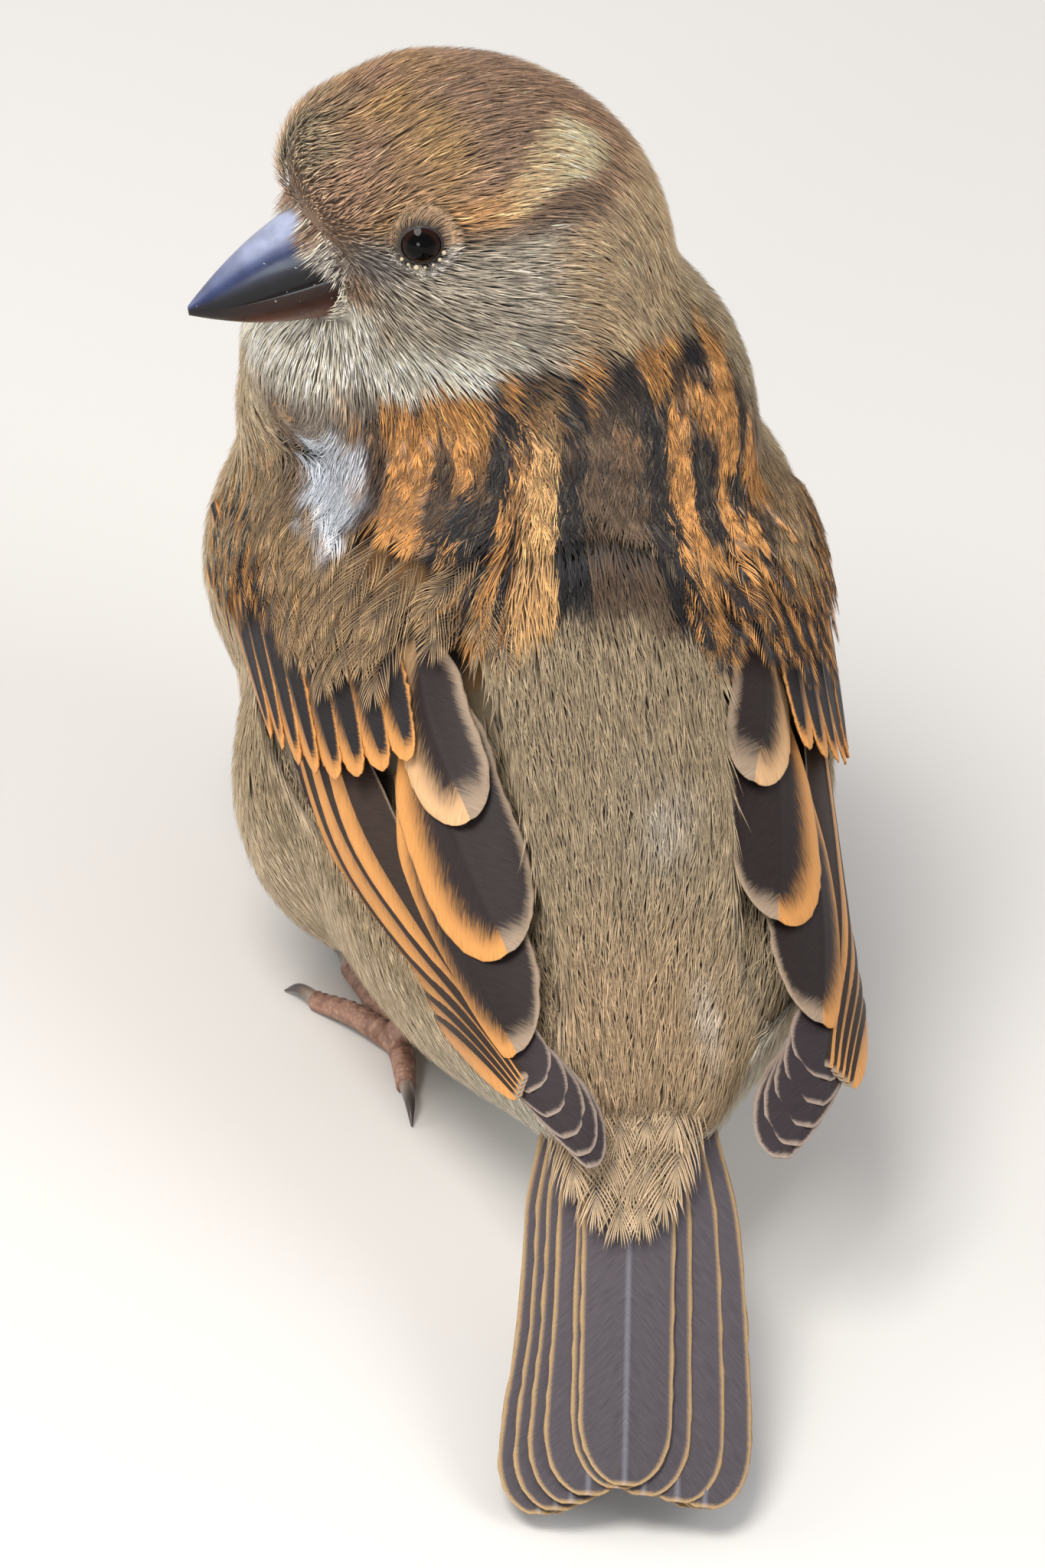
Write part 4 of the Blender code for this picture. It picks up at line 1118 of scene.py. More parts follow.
# ---------------------------------------------------------------------------------------------
# Wing coverts: rows of small soft feathers over the arm, shingled from the wrist back. The outer ones
# are black with buff edges, the inner ones plain brown, and their loose barbs cross in a lattice. On
# the left shoulder they part over white down.
# ---------------------------------------------------------------------------------------------
COVERT_BROWN, COVERT_DARK = colour("#A88A64"), colour("#3A2E26")


def covert_tint(places, sign):
    """The colours of coverts rooted at those places on the wing's face."""
    s, t = np.moveaxis(places, -1, 0)[:, :, None, None]
    marked = ramp(t, 0.36, 0.50) if sign > 0 else np.maximum(ramp(t, 0.26, 0.38), ramp(s, 0.06, 0.12))

    def tint(points, u, v, rng):
        middle = (1 - ramp(np.abs(u), 0.36, 0.58)) * (1 - ramp(v, 0.93, 1.0))
        from_shaft = np.broadcast_to([0.75, 0.5, 0.1, 0.0], u.shape)
        plain = mix(COVERT_BROWN, COVERT_DARK, from_shaft)
        made = mix(plain, mix(ORANGE, BLACK, middle), marked)
        down = shoulder_down(points) * (sign > 0)
        return mix(made, DOWN_WHITE, 0.92 * down * ramp(v, 0.1, 0.4))

    return tint


# How far towards the wing's tip the soft coverts are rooted, from the back down to the lower edge.
LATTICE_T = (-0.14, 0.1, 0.24, 0.40, 0.54, 0.8, 1.0)
LATTICE_S = (0.27, 0.29, 0.26, 0.18, 0.06, -0.02, -0.05)
COVERT_STEPS = (0.036, 0.085)
for side, sign in (("left", 1), ("right", -1)):
    rng = np.random.default_rng(55 if sign > 0 else 56)
    s, t = np.meshgrid(np.arange(-0.15, 0.32, COVERT_STEPS[0]), np.arange(-0.14, 1.0, COVERT_STEPS[1]))
    places = np.stack([s.ravel(), t.ravel()], -1) + rng.normal(0, 0.01, (s.size, 2))
    limit = np.interp(places[:, 1], LATTICE_T, LATTICE_S)
    mantle_side = (places[:, 1] < 0.09) & (places[:, 0] < 0.15)
    places = places[(places[:, 0] < limit) & ~mantle_side]
    roots = wing_point(places[:, 0], places[:, 1], sign)
    count = len(roots)
    lengths, turn = rng.uniform(8.5, 10.5, count), rng.normal(0, 0.05, count)
    spines, ups = comb(roots, lengths, SPINE_STATIONS, turn, -0.5, 0.30, rng, wander=0.02)
    lay_feathers(f"wing_{side}_coverts_soft", spines, ups, rng.uniform(1.8, 2.3, count),
                 covert_tint(places, sign), 57, per_side=17, barb=0.06, camber=0.05, loose=0.06,
                 flare=0.55, uneven=0.26)

# ---------------------------------------------------------------------------------------------
# Tail coverts: long soft feathers that hide the tail's root, buff above and paler below. They are laid
# in six rows of five along the tail, each row over the one nearer the tail's end.
# ---------------------------------------------------------------------------------------------
TAIL_COVERT, UNDER_COVERT = colour("#B79D7C"), colour("#D0C0A4")
COVERT_ROWS, COVERTS_IN_ROW = 6, 5
TAIL_COVERT_HALF = 2.6
for name, sense, start, tint_of in (("upper", 1, 0.5, TAIL_COVERT), ("under", -1, -3.6, UNDER_COVERT)):
    rng = np.random.default_rng(61 if sense > 0 else 62)
    spines, ups = [], []
    for row in range(COVERT_ROWS):
        for k in range(COVERTS_IN_ROW):
            off = (k - 2) * 2.3 + (row % 2) * 1.1 + rng.normal(0, 0.3)
            along = -10.0 + row * 3.2 + rng.normal(0, 0.5) - 0.12 * off * off * 0.5
            reach = 11.5 + 0.8 * row + rng.normal(0, 0.6)
            v = np.linspace(0, 1, SPINE_STATIONS)
            place = along + reach * v
            arch = 2.9 * np.clip(1 - (off / 8.5) ** 2, 0, 1) * (1 - ramp(place, -2, 20)) * sense
            rise = start + arch + sense * (-0.4 + 0.9 * v + 0.08 * row)
            spines.append(TAIL_ROOT + tail_ahead * place[:, None]
                          + tail_side * (off * (1 - 0.2 * v))[:, None] + tail_up * rise[:, None])
            ups.append(np.broadcast_to(unit(tail_up * sense + tail_side * off * 0.07), (SPINE_STATIONS, 3)))
    spines, ups = np.array(spines), np.array(ups)

    def tint(points, u, v, rng, base=tint_of):
        middle = (1 - ramp(np.abs(u), 0.0, 0.35)) * 0.35
        # Darker towards each covert's root: painted shade where the row over it lies.
        return mix(base, RUMP * 0.5, middle) * (0.7 + 0.45 * v)[..., None]

    half = np.full(len(spines), TAIL_COVERT_HALF)
    piece, = lay_feathers(f"tail_coverts_{name}_soft", spines, ups, half, tint, 63,
                          per_side=18, barb=0.085, camber=0.3, loose=0.08, flare=0.8, uneven=0.12)
    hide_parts(f"tail_coverts_{name}")

# ---------------------------------------------------------------------------------------------
# Bill: two sheaths of horn on bone that close on each other, deep at the base, glossy slate above and
# dusky below. The upper one's pale slate along the ridge is partly a painted highlight, and its black
# towards the cutting edge partly painted shade. Each is a closed loft along the bill, with a soft
# ridge on top.
# ---------------------------------------------------------------------------------------------
def tube_triangles(rings, around):
    """The faces of a closed tube: rings of points, then the middle of the first and of the last."""
    at = np.arange(rings * around).reshape(rings, around)
    a, b = at[:-1], np.roll(at, -1, axis=1)[:-1]
    c, d = np.roll(at, -1, axis=1)[1:], at[1:]
    first, last = rings * around, rings * around + 1
    turn = np.roll(np.arange(around), -1)
    caps = [np.stack([np.full(around, first), turn, np.arange(around)], -1),
            np.stack([np.full(around, last), at[-1], at[-1][turn]], -1)]
    return np.concatenate([halved(a, b, c, d), *caps])


def outward(points, triangles):
    """The triangles of a closed form, all turned so that they face out."""
    corner = points[triangles]
    volume = np.einsum("ij,ij->i", corner[:, 0], np.cross(corner[:, 1], corner[:, 2])).sum()
    return triangles if volume > 0 else triangles[:, ::-1]


def closed_tube(rings):
    """Points and outward triangles of a closed tube over rings (R, A, 3)."""
    points = np.concatenate([rings.reshape(-1, 3), [rings[0].mean(axis=0), rings[-1].mean(axis=0)]])
    return points, outward(points, tube_triangles(*rings.shape[:2]))


BILL_BASE, BILL_TIP = 11.0, np.array([24.5, 0.0, -2.0])
CAD_BILL_BASE = 12.2
CULMEN_BASE, GAPE_LEVEL, CHIN_BASE, BILL_HALF_WIDTH = 5.5, 0.5, -5.2, 4.5
CULMEN_BOW, GAPE_BOW, CHIN_BOW = 1.0, -0.25, -0.75
BILL_RINGS, BILL_AROUND = 48, 40
SLATE_AND_PAINTED_HIGHLIGHT, BILL_NAVY, BILL_BLACK = colour("#979EB6"), colour("#2C3558"), colour("#0C0B0F")
BILL_DUSK, BILL_PALE = colour("#2A1712"), colour("#623B2C")
BILL_FLECK = colour("#ADA69E")


def bill_rings(base_low, base_high, tip_low, tip_high, bow_low, bow_high, sense, wide):
    """Rings along one half. Its cutting edges are its widest places, with a nearly flat side between."""
    t = np.linspace(0, 1, BILL_RINGS)
    place = BILL_BASE + (BILL_TIP[0] - BILL_BASE) * (1 - (1 - t) ** 1.25)
    s = np.clip((place - CAD_BILL_BASE) / (BILL_TIP[0] - CAD_BILL_BASE), 0, 1)
    high = base_high + (tip_high - base_high) * s + bow_high * np.sin(math.pi * s)
    low = base_low + (tip_low - base_low) * s + bow_low * np.sin(math.pi * s)
    width = (BILL_HALF_WIDTH * (1 - s) ** 0.72 + 0.12) * wide
    angle = np.linspace(0, 2 * math.pi, BILL_AROUND, endpoint=False)
    around = np.cos(angle)
    arch = np.clip(np.sin(angle) * sense, 0, 1)
    across = np.where(arch > 0, np.sign(around) * np.abs(around) ** 0.9, around * 0.99)
    arch = arch * (1 + 0.04 * np.exp(-(around / 0.2) ** 2))
    flat = np.clip(-np.sin(angle) * sense, 0, 1) * 0.12
    edge, crest = (low, high) if sense > 0 else (high, low)
    level = edge[:, None] + (crest - edge)[:, None] * arch - sense * flat
    rings = np.stack([np.broadcast_to(place[:, None], level.shape), width[:, None] * across, level], axis=-1)
    return in_head(rings), np.broadcast_to(s[:, None], level.shape), np.broadcast_to(arch, level.shape)


# Bill horn: hard and smooth under a thin waxy gloss, clouded in patches about 2 mm across that also
# wear duller, with pale flecks of flaking horn under half a millimetre.
bill_horn, tree, shader = new_material("keratin_bill", Roughness=0.25, Specular_IOR_Level=0.3,
                                       Coat_Weight=0.08, Coat_Roughness=0.1)
dye = node(tree, "ShaderNodeAttribute", attribute_name="Dye")
place = node(tree, "ShaderNodeTexCoord").outputs["Object"]
cloud = node(tree, "ShaderNodeTexNoise", {"Vector": place, "Scale": 0.42 / MM, "Detail": 4.0}).outputs["Fac"]
fleck = node(tree, "ShaderNodeTexNoise", {"Vector": place, "Scale": 2.1 / MM, "Detail": 1.0}).outputs["Fac"]
level = node(tree, "ShaderNodeMapRange", {"Value": cloud, "From Min": 0.3, "From Max": 0.7,
                                          "To Min": 0.75, "To Max": 1.2})
shade = node(tree, "ShaderNodeVectorMath", {0: dye.outputs["Color"], "Scale": level}, operation="SCALE")
spots = node(tree, "ShaderNodeMapRange", {"Value": fleck, "From Min": 0.755, "From Max": 0.785})
flecked = node(tree, "ShaderNodeMix", {0: spots, 6: shade, 7: (*BILL_FLECK, 1.0)}, data_type="RGBA")
tree.links.new(flecked.outputs[2], shader.inputs["Base Color"])
worn = node(tree, "ShaderNodeMapRange", {"Value": cloud, "From Min": 0.3, "From Max": 0.7,
                                         "To Min": 0.2, "To Max": 0.4})
tree.links.new(worn.outputs[0], shader.inputs["Roughness"])
bump = node(tree, "ShaderNodeBump", {"Height": cloud, "Strength": 0.25, "Distance": 0.1 * MM})
tree.links.new(bump.outputs[0], shader.inputs["Normal"])

for half, shape in (
    ("upper", (GAPE_LEVEL - 0.05, CULMEN_BASE, BILL_TIP[2] - 0.15, BILL_TIP[2] + 0.35, GAPE_BOW, CULMEN_BOW,
               1, 1.0)),
    ("lower", (CHIN_BASE, GAPE_LEVEL - 0.15, BILL_TIP[2] - 0.5, BILL_TIP[2] - 0.1, CHIN_BOW, GAPE_BOW,
               -1, 0.93)),
):
    rings, s, arch = bill_rings(*shape)
    if half == "upper":
        # Upper horn: its own navy, black towards the cutting edge, partly its own dark edge and partly
        # painted shade, and pale slate along the ridge, partly its own slate and partly a painted highlight,
        # fading towards the tip.
        tint = mix(BILL_BLACK, BILL_NAVY, ramp(arch, 0.35, 0.86))
        tint = mix(tint, SLATE_AND_PAINTED_HIGHLIGHT, ramp(arch, 0.74, 1.0) * (1 - 0.75 * ramp(s, 0.3, 0.85)))
    else:
        tint = mix(BILL_DUSK, BILL_PALE, ramp(arch, 0.3, 0.95) * (1 - ramp(s, 0.5, 0.95)))
        tint = mix(tint, BILL_BLACK, 0.8 * ramp(s, 0.45, 0.95))
    points, triangles = closed_tube(rings)
    tint = np.concatenate([tint.reshape(-1, 3), tint[0, :1], tint[-1, :1]])
    piece = add_piece(f"bill_{half}_horn", points, triangles, bill_horn, tint)
    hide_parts(f"bill_{half}")

# ---------------------------------------------------------------------------------------------
# Bill's feathered edge: short stiff barbs over the nostrils and chin that grow from the skin round the
# bill and lie forward on its horn, longest above, and a few dark bristles at the gape.
# ---------------------------------------------------------------------------------------------
def over_the_bill(f, angle, off):
    """A place off the bill's surface: f along the head, angle round from its left edge over the top."""
    s = np.clip((f - CAD_BILL_BASE) / (BILL_TIP[0] - CAD_BILL_BASE), 0, 1)
    width = BILL_HALF_WIDTH * (1 - s) ** 0.72 + 0.12 + off
    edge = GAPE_LEVEL + (BILL_TIP[2] - GAPE_LEVEL) * s + GAPE_BOW * np.sin(math.pi * s)
    crest = CULMEN_BASE + (BILL_TIP[2] - CULMEN_BASE) * s + CULMEN_BOW * np.sin(math.pi * s) + off
    chin = CHIN_BASE + (BILL_TIP[2] - CHIN_BASE) * s + CHIN_BOW * np.sin(math.pi * s) - off
    rise = np.sin(angle)
    level = edge + np.where(rise > 0, (crest - edge) * rise, (edge - chin) * rise)
    return in_head(np.stack([f, width * np.cos(angle), level], axis=-1))


BARBS_ABOVE, BARBS_BELOW, NASAL_BARBS, GAPE_BRISTLES = 2200, 700, 620, 11
TUFT_STATIONS = 4
k = np.linspace(0, 1, TUFT_STATIONS)
rng = np.random.default_rng(65)
tufts = []
for count, low, high, longest in ((BARBS_ABOVE, 5, 175, 3.6), (BARBS_BELOW, 185, 355, 1.6)):
    angle = np.radians(rng.uniform(low, high, count))
    off_top = np.abs(np.degrees(angle) % 180 - 90)
    cover_most = 0.72 + 0.28 * np.exp(-((off_top - 38) / 20) ** 2) - 0.5 * ramp(off_top, 55, 88)
    root = rng.uniform(10.4, 12.4, count)
    reach = longest * cover_most * rng.uniform(0.6, 1.1, count)
    turn = rng.normal(0, 0.10, count) - 0.14 * np.cos(angle)
    rise = (0.5 + 0.6 * ramp(-off_top, -60, -20) * (low < 90)) * rng.uniform(0.2, 1.0, count)
    lines = over_the_bill(root[:, None] + reach[:, None] * k, angle[:, None] + turn[:, None] * k,
                          0.05 + rise[:, None] * np.sin(math.pi * (0.25 + 0.55 * k)))
    own = np.broadcast_to(THROAT, (count, 3)) if low > 180 else mix(CROWN, LORES * 1.25,
                                                                    ramp(off_top, 38, 58))
    base = np.where((rng.random(count) < 0.3)[:, None], own * 0.25, own)
    base = np.where((rng.random(count) < 0.3)[:, None], THROAT, base)
    # Each barb runs from painted shade at its root to painted light at its tip.
    tufts.append((lines, base[:, None] * np.array([0.25, 0.6, 1.0, 1.1])[:, None]))
# More barbs stand high over the right nostril.
angle = np.radians(rng.uniform(92, 158, NASAL_BARBS))
root = rng.uniform(10.6, 12.6, NASAL_BARBS)
reach = rng.uniform(1.6, 3.4, NASAL_BARBS)
turn = rng.normal(0, 0.08, (NASAL_BARBS, 1))
rise = rng.uniform(0.5, 1.7, (NASAL_BARBS, 1))
lines = over_the_bill(root[:, None] + reach[:, None] * k, angle[:, None] + turn * k,
                      0.1 + rise * np.sin(math.pi * (0.2 + 0.5 * k)))
base = np.where((rng.random(NASAL_BARBS) < 0.3)[:, None], CROWN * 0.3, CROWN)
# Painted shade at the roots and painted light at the tips, as above.
tufts.append((lines, base[:, None] * np.array([0.3, 0.6, 0.95, 1.1])[:, None]))
for sign in (1, -1):
    place, turn = rng.uniform(11.2, 12.2, GAPE_BRISTLES), rng.normal(0, 0.25, GAPE_BRISTLES)
    root = over_the_bill(place, (0.0 if sign > 0 else math.pi) + turn, 0.1)
    ahead = unit(in_head((1.0, 0.75 * sign, 0.35)) - HEAD_CENTRE)
    ahead = ahead + rng.normal(0, 0.22, (GAPE_BRISTLES, 1, 3))
    lines = root[:, None] + ahead * k[:, None] * rng.uniform(1.8, 3.4, (GAPE_BRISTLES, 1, 1))
    sag = np.array([0, 0, 0.6]) * k[:, None] ** 2
    tufts.append((lines - sag, np.broadcast_to(BLACK, lines.shape)))
lines, dyes = (np.concatenate(parts) for parts in zip(*tufts))
ups = unit(lines - in_head((12.0, 0.0, 1.0)))
half = np.broadcast_to([0.05, 0.055, 0.04, 0.02], lines.shape[:2])
lay_barbs("bill_tufts", lines, ups, half, half * 0.7, dyes)

# ---------------------------------------------------------------------------------------------
# Eyes: a dark wet ball with a brown iris and a clear bulge over the pupil, set in a rim of bare lid
# skin with a row of pale granules below. Short barbs spread from the lid all round.
# ---------------------------------------------------------------------------------------------
IRIS, PUPIL, LID, GRANULE = colour("#1C0D07"), colour("#010101"), colour("#1E1817"), colour("#B8AA8C")
PUPIL_RADIUS, IRIS_RADIUS, OPENING = 1.22, 1.66, 1.62
BULGE_HEIGHT, BULGE_RADIUS = 0.14, 1.15
EYE_RINGS, EYE_AROUND = 41, 56
# Eye: a wet, sharp shine over brown and black that hardly show their grain.
eye_wet, tree, shader = new_material("wet_eye", Roughness=0.04, Specular_IOR_Level=0.13)
dye = node(tree, "ShaderNodeAttribute", attribute_name="Dye")
tree.links.new(dye.outputs["Color"], shader.inputs["Base Color"])
# Lid: dark bare skin, leathery, in small bumps about a quarter of a millimetre across.
lid_skin, tree, shader = new_material("bare_lid_skin", Roughness=0.5)
dye = node(tree, "ShaderNodeAttribute", attribute_name="Dye")
place = node(tree, "ShaderNodeTexCoord").outputs["Object"]
pores = node(tree, "ShaderNodeTexVoronoi", {"Vector": place, "Scale": 4.2 / MM}).outputs["Distance"]
tree.links.new(dye.outputs["Color"], shader.inputs["Base Color"])
bump = node(tree, "ShaderNodeBump", {"Height": pores, "Strength": 0.5, "Distance": 0.08 * MM})
tree.links.new(bump.outputs[0], shader.inputs["Normal"])
# Granules: pale, dull skin, finely rough.
granule_skin, tree, shader = new_material("lid_granules", Roughness=0.5, Base_Color=(*GRANULE, 1.0))
pores = node(tree, "ShaderNodeTexNoise", {"Scale": 6.0 / MM}).outputs["Fac"]
bump = node(tree, "ShaderNodeBump", {"Height": pores, "Strength": 0.3, "Distance": 0.05 * MM})
tree.links.new(bump.outputs[0], shader.inputs["Normal"])


def granule_ring(material):
    """A Geometry Nodes tree: small balls spread along an arc of the lid's rim."""
    tree = bpy.data.node_groups.new("granules", "GeometryNodeTree")
    tree.interface.new_socket("Rim", in_out="INPUT", socket_type="NodeSocketGeometry")
    tree.interface.new_socket("Size", in_out="INPUT", socket_type="NodeSocketFloat")
    tree.interface.new_socket("Count", in_out="INPUT", socket_type="NodeSocketInt")
    tree.interface.new_socket("Granules", in_out="OUTPUT", socket_type="NodeSocketGeometry")
    given = node(tree, "NodeGroupInput")
    curve = node(tree, "GeometryNodeMeshToCurve", {0: given.outputs["Rim"]})
    spaced = node(tree, "GeometryNodeResampleCurve", {"Curve": curve, "Count": given.outputs["Count"]})
    ball = node(tree, "GeometryNodeMeshIcoSphere", {"Radius": given.outputs["Size"], "Subdivisions": 2})
    size = node(tree, "FunctionNodeRandomValue", {2: 0.6, 3: 1.15, "Seed": 7}, data_type="FLOAT")
    set_out = node(tree, "GeometryNodeInstanceOnPoints", {"Points": spaced, "Instance": ball.outputs["Mesh"],
                                                          "Scale": size.outputs[1]})
    real = node(tree, "GeometryNodeRealizeInstances", {0: set_out})
    smooth = node(tree, "GeometryNodeSetShadeSmooth", {0: real})
    dressed = node(tree, "GeometryNodeSetMaterial", {"Geometry": smooth, "Material": material})
    result = node(tree, "NodeGroupOutput")
    tree.links.new(dressed.outputs[0], result.inputs["Granules"])
    return tree


def grown_on(name, points, tree, **inputs):
    """The plain mesh object that a tree makes on a line of points."""
    mesh = bpy.data.meshes.new(name)
    edges = [(i, i + 1) for i in range(len(points) - 1)]
    mesh.from_pydata([Vector(p) for p in (points + OFFSET) * MM], edges, [])
    host = bpy.data.objects.new(name, mesh)
    bpy.context.scene.collection.objects.link(host)
    growth = host.modifiers.new("growth", "NODES")
    growth.node_group = tree
    for item in tree.interface.items_tree:
        if item.in_out == "INPUT" and item.name in inputs:
            growth[item.identifier] = inputs[item.name]
    made = bpy.data.meshes.new_from_object(host.evaluated_get(bpy.context.evaluated_depsgraph_get()))
    host.modifiers.clear()
    host.data = made
    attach(host, "root")
    return host


EYE_OUT = (0.26, 1.0, 0.18)
LID_RISE = math.sqrt(EYE_RADIUS ** 2 - OPENING ** 2)
# The lid's section, from the wet edge outwards: distance off its opening and height over it.
LID_SECTION = np.array([
    (-0.05, -0.10), (-0.02, 0.05), (0.04, 0.09), (0.12, 0.04), (0.22, -0.10), (0.35, -0.30), (0.52, -0.66),
    (0.68, -1.20), (0.50, -1.35), (0.05, -0.90),
])
GRANULES, GRANULE_RADIUS, GRANULE_ARC = 7, 0.21, (205, 330)
LID_BARBS = 980
granule_tree = granule_ring(granule_skin)
for side, sign in (("left", 1), ("right", -1)):
    centre = in_head(EYE_PLACE * (1, sign, 1))
    out = unit(in_head(np.multiply(EYE_OUT, (1, sign, 1))) - HEAD_CENTRE)
    level = unit(np.cross(out, UPWARD) * sign)
    rise = np.cross(level, out) * sign
    polar = np.linspace(0, math.pi, EYE_RINGS)[1:-1]
    round_angle = np.linspace(0, 2 * math.pi, EYE_AROUND, endpoint=False)
    reach = EYE_RADIUS * np.sin(polar)
    bulge = BULGE_HEIGHT * np.exp(-(reach / BULGE_RADIUS) ** 2) * (polar < 1.57)
    height = EYE_RADIUS * np.cos(polar) + bulge
    ring = level * np.cos(round_angle)[:, None] + rise * np.sin(round_angle)[:, None]
    rings = centre + out * height[:, None, None] + ring * reach[:, None, None]
    points, triangles = closed_tube(rings)
    off = np.concatenate([np.repeat(reach, EYE_AROUND), [0, 0]])
    tint = mix(PUPIL, IRIS, band(off, PUPIL_RADIUS, IRIS_RADIUS, 0.08))
    ball = add_piece(f"eyeball_{side}", points, triangles, eye_wet, tint)
    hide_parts(f"eye_{side}")
    oval = 1 + 0.05 * np.cos(2 * round_angle)
    lid = (centre + out * (LID_RISE + LID_SECTION[:, 1])[:, None]
           + ring[:, None] * ((OPENING + LID_SECTION[:, 0]) * oval[:, None])[..., None])
    around = len(LID_SECTION)
    points = lid.reshape(-1, 3)
    at = np.arange(len(points)).reshape(EYE_AROUND, around)
    a, b = at, np.roll(at, -1, axis=1)
    c, d = np.roll(b, -1, axis=0), np.roll(at, -1, axis=0)
    triangles = outward(points, halved(a, b, c, d))
    # Outward the lid turns the crown's colour darkened to a fifth, painted shade where it goes under the
    # barbs.
    tint = mix(LID, CROWN * 0.22, ramp(LID_SECTION[:, 0], 0.12, 0.40))
    piece = add_piece(f"eyelid_{side}", points, triangles, lid_skin, np.tile(tint, (EYE_AROUND, 1)))
    arc = np.radians(np.linspace(*GRANULE_ARC, 40))
    rim = (centre + out * (LID_RISE + 0.1)
           + (level * np.cos(arc)[:, None] + rise * np.sin(arc)[:, None]) * (OPENING + 0.38))
    piece = grown_on(f"lid_granules_{side}", rim, granule_tree, Size=GRANULE_RADIUS * MM, Count=GRANULES)
    # Short barbs that spread from the lid all round and bend back.
    rng = np.random.default_rng(68)
    turn = rng.uniform(0, 2 * math.pi, LID_BARBS)
    ring = level * np.cos(turn)[:, None] + rise * np.sin(turn)[:, None]
    away = rng.uniform(OPENING + 0.14, OPENING + 0.95, (LID_BARBS, 1))
    on_lid = centre + ring * away + out * (np.sqrt(np.maximum(EYE_RADIUS ** 2 - away ** 2, 0.0)) + 0.13)
    below = ramp(-np.sin(turn), -0.1, 0.5)
    reach = rng.uniform(0.9, 2.1, LID_BARBS)
    back = tangent(in_head((-1.0, 0.0, 0.1)) - HEAD_CENTRE, out)
    place, normal = cover.settle(on_lid)
    place = np.where(away < EYE_RADIUS - 0.1, on_lid, place)
    lines, ups = [place + normal * 0.02], [normal]
    for k in range(3):
        stray = rng.normal(0, 0.12, (LID_BARBS, 3))
        way = unit(ring * (0.9 - 0.35 * k) + back * (0.45 + 0.5 * k) + stray)
        step = place + way * (reach / 3)[:, None]
        place, normal = cover.settle(step)
        place = place if k else 0.35 * place + 0.65 * step
        lines.append(place + normal * (0.16 + 0.05 * k))
        ups.append(normal)
    lines, ups = np.stack(lines, 1), np.stack(ups, 1)
    base = mix(mix(CROWN, BROW_LINE, 0.3), LORES, below)
    base = np.where((rng.random(LID_BARBS) < 0.35)[:, None], base * 0.45, base)
    base = np.where(((rng.random(LID_BARBS) < 0.25) & (below > 0.4))[:, None], THROAT, base)
    # Each barb runs from painted shade at its root to painted light at its tip.
    dyes = base[:, None] * np.array([0.25, 0.6, 0.95, 1.15])[:, None]
    half = np.broadcast_to([0.04, 0.045, 0.035, 0.02], lines.shape[:2])
    lay_barbs(f"eye_ring_{side}", lines, ups, half, half * 0.7, dyes)

# ---------------------------------------------------------------------------------------------
# Legs and toes: thin scaly skin over bone, with rings of scutes along the upper side, and a curved
# claw of dark horn on each toe. The feet stand flat, so nothing reaches under the floor.
# ---------------------------------------------------------------------------------------------
FOOT, HEEL, TOE_RADIUS = np.array([12.5, -1.0, 1.75]), np.array([11.6, 9.0, 13.0]), 1.05
TOES = {  # degrees outward from straight ahead, the toe's length and its claw's
    "inner": (-20.0, 9.0, 3.4),
    "middle": (7.0, 13.0, 4.0),
    "outer": (36.0, 9.6, 3.4),
    "hind": (174.0, 6.6, 5.4),
}
SHANK_RADII, CLAW_RADII = (1.5, 1.0, 1.45), (0.66, 0.48, 0.08)
LIMB_RINGS, LIMB_AROUND, CLAW_RINGS, CLAW_AROUND = 60, 20, 24, 14
SHANK_SCUTE, SHANK_PITCH, TOE_SCUTE, TOE_PITCH = 0.12, 1.3, 0.16, 0.95
LOWEST = 0.02        # over the floor
LEG_SKIN, LEG_SHADE = colour("#A9836F"), colour("#6E4B3C")
CLAW_DARK, CLAW_PALE = colour("#3A3230"), colour("#8B7A6C")
# Leg skin: dry and dull, cracked into scales about 0.4 mm across, darker in the cracks.
leg_material, tree, shader = new_material("scaly_leg_skin", Roughness=0.5, Specular_IOR_Level=0.4)
dye = node(tree, "ShaderNodeAttribute", attribute_name="Dye")
place = node(tree, "ShaderNodeTexCoord").outputs["Object"]
scales = node(tree, "ShaderNodeTexVoronoi", {"Vector": place, "Scale": 2.4 / MM}).outputs["Distance"]
level = node(tree, "ShaderNodeMapRange", {"Value": scales, "From Min": 0.0, "From Max": 0.7,
                                          "To Min": 1.15, "To Max": 0.7})
shade = node(tree, "ShaderNodeVectorMath", {0: dye.outputs["Color"], "Scale": level}, operation="SCALE")
tree.links.new(shade.outputs[0], shader.inputs["Base Color"])
bump = node(tree, "ShaderNodeBump", {"Height": scales, "Strength": 0.5, "Distance": 0.1 * MM}, invert=True)
tree.links.new(bump.outputs[0], shader.inputs["Normal"])
# Claw horn: smooth and glossy, with a faint grain of about half a millimetre.
claw_material, tree, shader = new_material("horn_claw", Roughness=0.3, Specular_IOR_Level=0.5,
                                           Coat_Weight=0.2)
dye = node(tree, "ShaderNodeAttribute", attribute_name="Dye")
place = node(tree, "ShaderNodeTexCoord").outputs["Object"]
grain = node(tree, "ShaderNodeTexNoise", {"Vector": place, "Scale": 1.8 / MM, "Detail": 3.0}).outputs["Fac"]
tree.links.new(dye.outputs["Color"], shader.inputs["Base Color"])
bump = node(tree, "ShaderNodeBump", {"Height": grain, "Strength": 0.2, "Distance": 0.05 * MM})
tree.links.new(bump.outputs[0], shader.inputs["Normal"])


